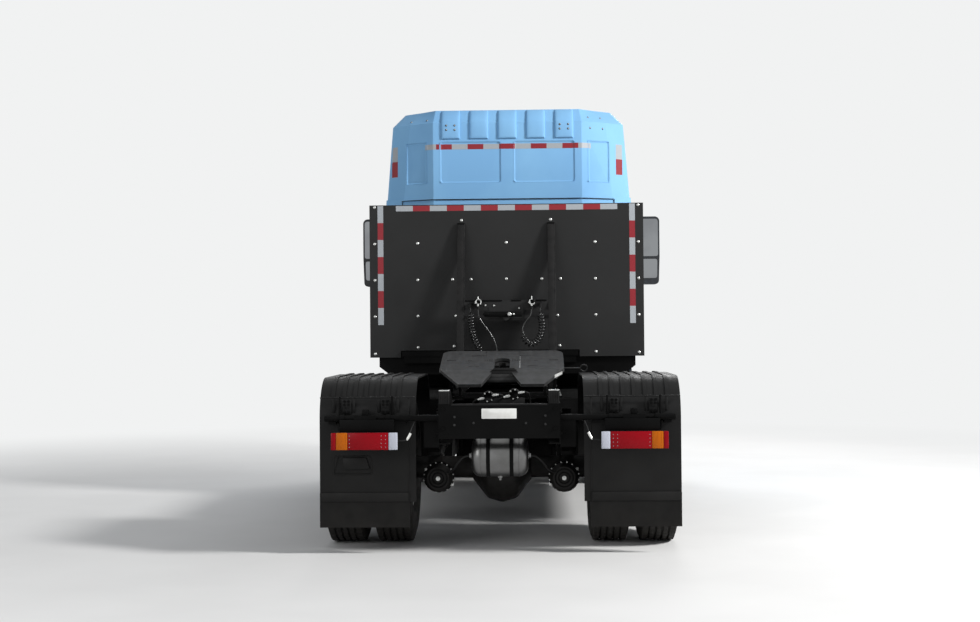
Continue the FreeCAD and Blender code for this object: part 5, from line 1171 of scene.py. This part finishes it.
def fit_chambers():
    """Clamp bands with their bolts, pressed rings and release bolts on both brake chambers."""
    centre = Vector((440, corners("brake_chambers")[0].y, 480))
    work = bmesh.new()
    bar(work, centre + Vector((0, 6, 0)), centre + Vector((0, -14, 0)), 15, 24)
    bar(work, centre + Vector((0, -14, 0)), centre + Vector((0, -26, 0)), 11, 6)
    for u, v in around(16, 104, math.tau / 32):
        spot = centre + Vector((u, 84, v))
        bar(work, spot, spot - Vector((0, 9, 0)), 5, 6)
    for u, v in around(2, 104, 0.5):
        spot = centre + Vector((u, 108, v))
        block(work, spot - Vector((13, 14, 13)), spot + Vector((13, 14, 13)), 3)
        bar(work, spot + Vector((0, -24, 0)), spot + Vector((0, 24, 0)), 6, 6)
    paired(work, "chamber_bolts", "chassis", ZINC, "fitting")
    work = bmesh.new()
    for radius in (38, 62):
        turned(work, [(3, radius - 7), (-3, radius - 4), (-4, radius), (-3, radius + 4), (3, radius + 7)],
               centre, "Y", 40)
    turned(work, [(88, 101), (90, 108), (98, 109), (108, 106), (118, 109), (126, 108), (128, 101)], centre, "Y", 48)
    paired(work, "chamber_clamps", "chassis", POWDER, "chassis_black")


def fit_springs():
    """U-bolts and leaf clips on the springs, and two rows of bolts along each rail."""
    work = bmesh.new()
    for y, seat, top in ((REAR_AXLE, 600, 712), (FRONT_AXLE, 440, 520)):
        for off in (-66, 66):
            for x in (436, 504):
                bar(work, (x, y + off, seat - 60), (x, y + off, top), 10, 12)
            bar(work, (426, y + off, top), (514, y + off, top), 11, 12)
    for y in (REAR_AXLE - 330, REAR_AXLE + 330):
        block(work, (418, y - 22, 640), (522, y + 22, 760), 4)
    paired(work, "spring_clamps", "chassis", POWDER, "chassis_black")
    work = bmesh.new()
    for k in range(34):
        y = -3050 + k * 172
        for z in (812, 958):
            bar(work, (409, y, z), (414, y, z), 14, 14)
            bar(work, (414, y, z), (423, y, z), 10, 6)
    paired(work, "rail_bolts", "chassis", POWDER, "chassis_black")


# Mudguards and lamps

GUARD_BACK = -2970
STAY = (-3036, 924)


def fit_guards():
    """Lips, hem, stowage lid and clamp brackets on the mudguards, and the brackets that carry the lamps."""
    back = GUARD_BACK
    work = bmesh.new()
    block(work, (574, back - 9, 1056), (1221, back + 2, 1066), 3)
    block(work, (612, back - 4, 372), (622, back + 2, 1056), 2)
    block(work, (622, back - 13, 356), (1222, back - 9.5, 416), 1)
    for x in (774, 1038):
        block(work, (x - 30, back - 12, 948), (x + 30, back + 2, 1048), 6)
        block(work, (x - 22, back - 20, 990), (x + 22, back - 10, 1036), 5)
    for x in (691, 821, 991, 1128):
        block(work, (x - 9, back - 7, 960), (x + 9, back + 2, 1058), 5)
    both_sides(work)
    # The stowage lid in the left guard: a bead round its recess and a grip in the middle.
    ring(work, [(spot.x, back - 1, spot.y) for spot in
                rounded([(-1131, 540, 10), (-864, 540, 24), (-880, 664, 20), (-1131, 664, 10)], 4, 400)], 4)
    slab(work, [(-1064, 570), (-884, 576), (-910, 656), (-1070, 652)], "XZ", back - 6, back + 14, 5)
    piece(work, "guard_lips", "chassis", GUARD, "guard_plastic")
    work = bmesh.new()
    for x in (760, 788, 1024, 1052):
        for z in (962, 1014, 1036):
            bolt(work, x, back - 11 - (9 if z > 980 else 0), z, 7, 8)
    for x in (728, 1085):
        bar(work, (x, back - 14, 832), (x, back - 14, 1070), 7, 10)
    paired(work, "guard_bolts", "chassis", POWDER, "chassis_black")
    work = bmesh.new()
    y, z = STAY
    for x in (750, 917, 1060):
        turned(work, [(-15, 22), (-15, 27), (15, 27), (15, 22)], (x, y, z), "X", 24)
        block(work, (x - 15, y + 18, z - 14), (x + 15, back - 0.5, z + 22), 3)
    block(work, (882, y - 26, z + 4), (926, y + 30, z + 60), 7)
    block(work, (707, -3094, 834), (1072, -3088, 918), 3)
    block(work, (707, -3094, 716), (730, -3086, 836), 3)
    for x in (712, 1048):
        block(work, (x, -3094, 900), (x + 20, y, 908), 2)
    paired(work, "lamp_brackets", "chassis", POWDER, "chassis_black")


def fit_tail_lamps():
    """Each tail lamp: a black tray under a ribbed lens in four bands, with a lead to the frame."""
    work = bmesh.new()
    block(work, (679, -3122, 719), (1124, -3086, 833), 8)
    paired(work, "lamp_trays", "chassis", TRIM, "cab_trim")
    work = bmesh.new()
    for low, high in ((679, 739), (739, 1013), (1013, 1091), (1091, LENS_END)):
        block(work, (low + 0.6, -3144.5, 719), (high - 0.6, -3118, 833), 4)
    for x in (694, 724, 1026, 1052, 1078, 1108):
        block(work, (x - 1.5, -3144.9, 724), (x + 1.5, -3140, 828))
    lens = paired(work, "lamp_lenses", "chassis", LAMP, "lamp")
    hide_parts("tail_lamps")
    work = bmesh.new()
    for x in (758, 786, 1000):
        for k in range(4):
            z = 738 + k * 25
            turned(work, [(0, 5), (-1.5, 4.6), (-2.4, 2.8), (-2.6, TIP)], (x, -3142.2, z), "Y", 10)
    paired(work, "lamp_reflectors", "chassis", MIRROR, "fitting")
    work = bmesh.new()
    pipe(work, [(682, -3105, 776), (655, -3105, 776), (632, -3104, 778), (616, -3100, 792)], 4)
    pipe(work, [(606, -3098, 812), (598, -3092, 832), (584, -3070, 870), (570, -3046, 902)], 4)
    paired(work, "lamp_leads", "chassis", SEAL, "hose")
    work = bmesh.new()
    bar(work, (615, -3101, 788), (594, -3097, 826), 9.5, 12)
    bar(work, (619, -3102, 780), (611, -3100, 795), 6, 12)
    paired(work, "lead_plugs", "chassis", PLATE, "fitting")


for fit in (fit_coupling, fit_tail, fit_valves, fit_tank, fit_chambers, fit_springs, fit_guards, fit_tail_lamps):
    fit()


# Battery rack and side boxes

def fit_battery():
    """Ribs, rails and bolts on the battery housing's flanks, and a ribbed lid."""
    low, high = corners("battery_box")
    work = bmesh.new()
    for k in range(6):
        y = low.y + 62 + k * 122
        block(work, (high.x - 1, y, low.z + 90), (high.x + 8, y + 58, high.z - 90), 5)
    for z in (low.z + 12, high.z - 62, (low.z + high.z) / 2 - 25):
        block(work, (high.x - 1, low.y + 10, z), (high.x + 11, high.y - 70, z + 50), 4)
    for k in range(5):
        x = 80 + k * 230
        block(work, (x, low.y + 40, high.z - 1), (x + 120, high.y - 50, high.z + 7), 4)
    paired(work, "battery_ribs", "chassis", POWDER, "chassis_black")
    work = bmesh.new()
    for z in (low.z + 37, high.z - 37, (low.z + high.z) / 2):
        for k in range(7):
            y = low.y + 40 + k * 105
            bar(work, (high.x + 10, y, z), (high.x + 12.5, y, z), 13, 14)
            bar(work, (high.x + 12.5, y, z), (high.x + 20, y, z), 9, 6)
    paired(work, "battery_bolts", "chassis", ZINC, "fitting")


def fit_walls():
    """Splash wall under the battery tray and the stone guard before the drive unit: black plates that also paint the
    shade in the view under the vehicle.
    """
    # Painted shade in part: these black plates close the view under the frame, where only shade lies.
    work = bmesh.new()
    block(work, (-1120, 648, 1026), (1120, 655, 1284), 2)
    for side in (-1, 1):
        inner, outer = sorted((side * 420, side * 1117.2))
        block(work, (inner, 648, 991), (outer, 655, 1030), 2)
    for k in range(9):
        x = -1060 + k * 265
        block(work, (x - 20, 640, 1030), (x + 20, 650, 1280), 4)
    block(work, (-437, -424, 425), (437, -418, 748), 2)
    for x in (-400, -200, 0, 200, 400):
        block(work, (x - 22, -430, 440), (x + 22, -422, 740), 4)
    piece(work, "splash_and_shade_walls", "chassis", POWDER, "chassis_black")


def fit_side_boxes():
    """Cover panels, hinges, latches and marker lamps on the packs between the axles."""
    work, small, glow = bmesh.new(), bmesh.new(), bmesh.new()
    face = 1170
    for rear, ahead in ((-1500, -323.5), (-273.5, 903)):
        half = (ahead - rear) / 2
        for start_y in (rear + 18, rear + half + 10):
            block(work, (face - 2, start_y, 585), (face + 7, start_y + half - 28, 935), 6)
            for k in range(3):
                y = start_y + 70 + k * (half - 190) / 2
                block(work, (face + 6, y, 620), (face + 10, y + 34, 900), 3)
            for y in (start_y + 40, start_y + half - 70):
                for z in (915, 603):
                    bar(small, (face + 6, y, z), (face + 13, y, z), 11, 6)
            block(small, (face + 6, start_y + half / 2 - 50, 905), (face + 20, start_y + half / 2 + 20, 925), 4)
        block(glow, (face - 2, rear + half - 50, 548), (face + 12, rear + half + 50, 576), 5)
        for k in range(6):
            block(work, (440, rear + 60 + k * 200, 978), (1100, rear + 100 + k * 200, 988), 3)
    for shape, name, finish, slot in ((work, "pack_covers", GUARD, "guard_plastic"),
                                      (small, "pack_latches", ZINC, "fitting"),
                                      (glow, "side_markers", AMBER, "headlamp")):
        paired(shape, name, "chassis", finish, slot)


STRUT_LEAN = 15.38
HEAD_HEIGHT = 1757


def fit_struts():
    """Folded edges and foot bolts of the leaning struts, and the rack's bars, screws and coupling lips."""
    work = bmesh.new()
    for side in (-1, 1):
        shape = bmesh.new()
        block(shape, (-31.5, -3, 0), (31.5, 4, 1395), 3)
        place = Matrix.Translation(Vector((side * 395, -522.3, 1100)) * MM)
        place = place @ Matrix.Rotation(-math.radians(STRUT_LEAN), 4, "X")
        bmesh.ops.transform(shape, matrix=place, verts=shape.verts)
        work.from_mesh(mesh_of(shape, "strut_face"))
        pipe(work, [(side * 395 + 29, -524 + 0.2754 * k, 1100 + k) for k in (0, 450, 900, 1350)], 3.6)
    for x in (340, 420):
        for y in (-550, -460):
            for side in (-1, 1):
                bar(work, (side * x, y, 1032), (side * x, y, 1046), 12, 6)
    piece(work, "strut_faces", "chassis", CAST, "board_black")
    work = bmesh.new()
    for low, high in ((-352, -34), (44, 129), (258, 352)):
        block(work, (low, -347, 1765), (high, -339, 1778), 3)
    block(work, (-189, -412, 1630), (137, -396, 1676), 5)
    block(work, (-200, -416, 1642), (-150, -398, 1664), 6)
    for x in (-240, 220):
        turned(work, [(0, 30), (-5, 30), (-9, 24), (-9, 12), (-3, 9), (-3, TIP)], (x, -416, HEAD_HEIGHT), "Y", 28)
    piece(work, "rack_bars", "chassis", POWDER, "chassis_black")
    work = bmesh.new()
    for x, z in ((-319, 1640), (-180, 1731), (-105, 1728), (112, 1705), (301, 1652)):
        turned(work, [(4, 9), (-3, 9), (-6, 6), (-7, TIP)], (x, -342, z), "Y", 14)
    turned(work, [(0, 17), (-16, 17), (-20, 12), (-20, TIP)], (30, -412, 1652), "Y", 24)
    turned(work, [(0, 9), (-10, 9), (-13, 5), (-13, TIP)], (66, -412, 1652), "Y", 16)
    for x, turn, start_at in ((-236, -1, 0.1), (224, 1, 2.2)):
        z = HEAD_HEIGHT
        # Each head's hooked lip is three quarters of a ring, with its guide lug and pin.
        pipe(work, [(x + turn * 23 * math.cos(start_at + k * 0.55), -425, z + 25 * math.sin(start_at + k * 0.55))
                    for k in range(8)], 5.5)
        block(work, (x - 31, -430, z - 14), (x - 12, -418, z + 2), 4)
        bar(work, (x - 3, -424, z + 20), (x - 3, -424, z + 50), 6.5, 12, 4)
        bar(work, (x - 4, -424, z - 14), (x - 4, -424, z - 34), 8, 6)
    piece(work, "coupling_lips", "chassis", ZINC, "fitting")


def fit_hubs():
    """Flange bolts and covers on the rear hubs, bolted caps on the front ones."""
    for word, side in (("left", -1), ("right", 1)):
        low, high = corners("rims_rear_" + word)
        x = high.x if side > 0 else low.x
        work = bmesh.new()
        for u, v in around(10, 80):
            y, z = REAR_AXLE + u, TYRE_RADIUS + v
            bar(work, (x - side * 4, y, z), (x + side * 12, y, z), 9, 6)
        turned(work, [(-3, 62), (side * 4, 60), (side * 6, 40), (side * 6, TIP)], (x, REAR_AXLE, TYRE_RADIUS), "X", 40)
        piece(work, f"hub_rear_{word}_bolts", "rear_wheels_" + word, CAST, "cast_black")
        rim = surface_of("rim_front_" + word)
        x = cast(rim, (side * 2000, FRONT_AXLE, TYRE_RADIUS), (-side, 0, 0)).x
        work = bmesh.new()
        turned(work, [(side * -8, 79), (side * 2, 78), (side * 10, 66), (side * 13, 40), (side * 13, TIP)],
               (x, FRONT_AXLE, TYRE_RADIUS), "X", 40)
        for u, v in around(6, 62):
            y, z = FRONT_AXLE + u, TYRE_RADIUS + v
            bar(work, (x + side * 4, y, z), (x + side * 15, y, z), 7, 6)
        piece(work, f"hub_front_{word}_cap", "front_wheel_" + word, ZINC, "fitting")


for fit in (fit_battery, fit_walls, fit_side_boxes, fit_struts, fit_hubs):
    fit()


# Seats and bunk

PAD_GRID = 12
PAD_PRESSURE, PAD_MOMENTS = 4.0, 20
# A distance beyond the reach of any stitch line.
NO_SEAM = 99


def swollen(name, work, most=16):
    """A padded shape: its outline filled as a cloth bag, and each place capped in how far it may swell."""
    made = shown(name, mesh_of(work, name))
    even = made.modifiers.new("even", "REMESH")
    even.mode = "VOXEL"
    even.voxel_size = PAD_GRID * MM
    plain = settled(made)
    filled = made.modifiers.new("filled", "CLOTH")
    filled.settings.use_pressure = True
    filled.settings.uniform_pressure_force = PAD_PRESSURE
    filled.settings.effector_weights.gravity = 0.0
    filled.point_cache.frame_start, filled.point_cache.frame_end = 1, PAD_MOMENTS
    for moment in range(1, PAD_MOMENTS + 1):
        bpy.context.scene.frame_set(moment)
    full = settled(made)
    for vert, rest in zip(full.vertices, plain.vertices):
        away = vert.co - rest.co
        if away.length > most * MM:
            vert.co = rest.co + away.normalized() * most * MM
    bpy.context.scene.frame_set(1)
    return made


def settled(made):
    """Puts what an object's modifiers give into its own mesh."""
    ready = bpy.data.meshes.new_from_object(made.evaluated_get(bpy.context.evaluated_depsgraph_get()))
    made.modifiers.clear()
    made.data = ready
    return ready


def sewn(made, seams, deep=7, wide=9):
    """Presses seams into a pad: each gives how far a place in millimetres is from its stitch line."""
    fine = made.modifiers.new("fine", "SUBSURF")
    fine.levels = fine.render_levels = 1
    mesh = settled(made)
    work = bmesh.new()
    work.from_mesh(mesh)
    moved = []
    for vert in work.verts:
        away = min(abs(seam_and_shade_line(vert.co / MM)) for seam_and_shade_line in seams)
        if away < 3 * wide:
            moved.append((vert, vert.normal * -deep * MM * math.exp(-(away / wide) ** 2)))
    for vert, push in moved:
        vert.co += push
    work.to_mesh(mesh)
    work.free()


def upholstered(made, finish):
    """Covers a pad in cloth, shades it smooth and sets it on the cab."""
    made.data.materials.clear()
    made.data.materials.append(finish)
    made.data.shade_smooth()
    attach(made, "cab")


SEAT_X = 520
SEAM_X = 150
LEAN = 100 / 660


def seat_seams(middle, axis, levels):
    """Two seams along a seat's pad, and seams across between them at levels on an axis."""
    along = [lambda at, x=x: at.x - middle - x for x in (-SEAM_X, SEAM_X)]
    return along + [lambda at, level=level: at[axis] - level if abs(at.x - middle) < SEAM_X else NO_SEAM
                    for level in levels]


def fit_seats():
    """Two air seats: folded bellows under a pan, a cushion with bolsters, a leaning back and a headrest."""
    for side, word in ((-1, "left"), (1, "right")):
        middle = side * SEAT_X
        work = bmesh.new()
        block(work, (middle - 158, 1802, 1216), (middle + 158, 2248, 1236), 5)
        for k in range(6):
            block(work, (middle - 140, 1822, 1236 + 30 * k), (middle + 140, 2228, 1266 + 30 * k), 13)
        block(work, (middle - 158, 1802, 1418), (middle + 158, 2248, 1454), 8)
        for x in (middle - 240, middle + 222):
            block(work, (x, 1850, 1440), (x + 18, 2180, 1500), 6)
        base = piece(work, "seat_base_" + word, "cab", TRIM, "cab_trim")
        work = bmesh.new()
        block(work, (middle - 222, 1868, 1478), (middle + 222, 2272, 1566), 34)
        cushion = swollen("seat_cushion_" + word, work)
        sewn(cushion, seat_seams(middle, 1, (1980, 2080, 2180)))
        upholstered(cushion, CLOTH)
        work = bmesh.new()
        slab(work, [(1778, 1500), (1862, 1500), (1862 - LEAN * 520, 2020), (1778 - LEAN * 520, 2020)],
             "YZ", middle - 222, middle + 222, 34)
        back = swollen("seat_back_" + word, work)
        sewn(back, seat_seams(middle, 2, (1660, 1770, 1880)))
        upholstered(back, CLOTH)
        work = bmesh.new()
        slab(work, [(1692, 2066), (1762, 2066), (1742, 2206), (1676, 2206)], "YZ", middle - 124, middle + 124, 26)
        rest = swollen("headrest_" + word, work, 10)
        sewn(rest, [lambda at: at.x - middle - 84, lambda at: at.x - middle + 84], 5)
        upholstered(rest, CLOTH)
        work = bmesh.new()
        for x in (-60, 60):
            bar(work, (middle + x, 1746 - LEAN * 10, 2000), (middle + x, 1722, 2090), 7)
        posts = piece(work, f"headrest_{word}_posts", "cab", ZINC, "fitting")
        for part in (base, cushion, back, rest, posts):
            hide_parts("seats")


def fit_bunk():
    """A foam mattress in quilted cloth on the shelf behind the seats."""
    low, high = corners("bunk")
    work = bmesh.new()
    block(work, (low.x + 6, low.y + 6, low.z + 2), (high.x - 6, high.y - 6, high.z - 150), 12)
    shelf = piece(work, "bunk_shelf", "cab", VINYL, "cab_trim")
    work = bmesh.new()
    block(work, (low.x + 22, low.y + 20, high.z - 132), (high.x - 22, high.y - 20, high.z - 16), 36)
    mattress = swollen("bunk_mattress", work, 14)
    pitch = (high.x - low.x) / 9
    sewn(mattress, [lambda at: (at.x - low.x + pitch / 2) % pitch - pitch / 2 if at.z > high.z - 60 else NO_SEAM],
         8, 10)
    upholstered(mattress, CLOTH)
    for part in (shelf, mattress):
        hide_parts("bunk")


fit_seats()
fit_bunk()


# Light and floor

BACKDROP = "#f1f2f2"


def lay_floor():
    """A pale round floor just under the tyres."""
    work = bmesh.new()
    place = Matrix.Translation((0, 0, -2 * MM))
    bmesh.ops.create_circle(work, cap_ends=True, segments=96, radius=80, matrix=place)
    mesh = mesh_of(work, "floor")
    floor = shown("floor", mesh)
    material, tree, shader, place = start("studio_floor", {"Roughness": 0.85, "Specular IOR Level": 0.2})
    tone = patches(tree, place, "#dedddb", "#d9d8d6", 1500)
    wired(tree, shader, {"Base Color": tone})
    # The floor melts into the backdrop with distance from the object.
    away = add(tree, "ShaderNodeVectorMath", {0: place}, operation="LENGTH").outputs["Value"]
    melt = add(tree, "ShaderNodeMapRange", {"Value": away, "From Min": 3.6, "From Max": 11.5},
               interpolation_type="SMOOTHSTEP").outputs[0]
    back = add(tree, "ShaderNodeEmission", {"Color": linear(BACKDROP), "Strength": 1.0})
    both = add(tree, "ShaderNodeMixShader", {0: melt, 1: shader.outputs[0], 2: back.outputs[0]})
    tree.links.new(both.outputs[0], tree.nodes["Material Output"].inputs["Surface"])
    mesh.materials.append(material)


def set_world():
    """A dim cool sky for the light, and a plain backdrop for the camera, the glass and the metal."""
    world = bpy.data.worlds.new("studio")
    bpy.context.scene.world = world
    world.use_nodes = True
    tree = world.node_tree
    tree.nodes.clear()
    path = add(tree, "ShaderNodeLightPath")
    seen = path.outputs["Is Camera Ray"]
    for ray in ("Is Glossy Ray", "Is Transmission Ray"):
        seen = add(tree, "ShaderNodeMath", {0: seen, 1: path.outputs[ray]}, operation="MAXIMUM").outputs[0]
    soft = add(tree, "ShaderNodeBackground", {"Color": linear("#e9eef5"), "Strength": 0.36})
    back = add(tree, "ShaderNodeBackground", {"Color": linear(BACKDROP), "Strength": 1.0})
    both = add(tree, "ShaderNodeMixShader", {0: seen, 1: soft.outputs[0], 2: back.outputs[0]})
    add(tree, "ShaderNodeOutputWorld", {"Surface": both.outputs[0]})


def hang_lamp(name, place, aim, wide, power):
    """An oblong lamp that looks from a place to an aim, in metres and watts."""
    light = bpy.data.lights.new(name, "AREA")
    light.shape = "RECTANGLE"
    light.size, light.size_y = wide
    light.energy = power
    lamp = shown(name, light)
    lamp.location = place
    lamp.rotation_euler = (Vector(aim) - Vector(place)).to_track_quat("-Z", "Y").to_euler()


bpy.context.scene.view_settings.view_transform = "Standard"
lay_floor()
set_world()
hang_lamp("key_softbox", (11.0, -6.0, 8.0), (0.0, -0.2, 1.6), (2.2, 2.2), 2300)
hang_lamp("fill_softbox", (-7.0, -10.5, 4.5), (0.0, -0.5, 1.2), (5.0, 4.0), 230)
hang_lamp("front_softbox", (1.0, 9.0, 7.5), (0.0, 1.0, 1.5), (6.0, 3.5), 700)
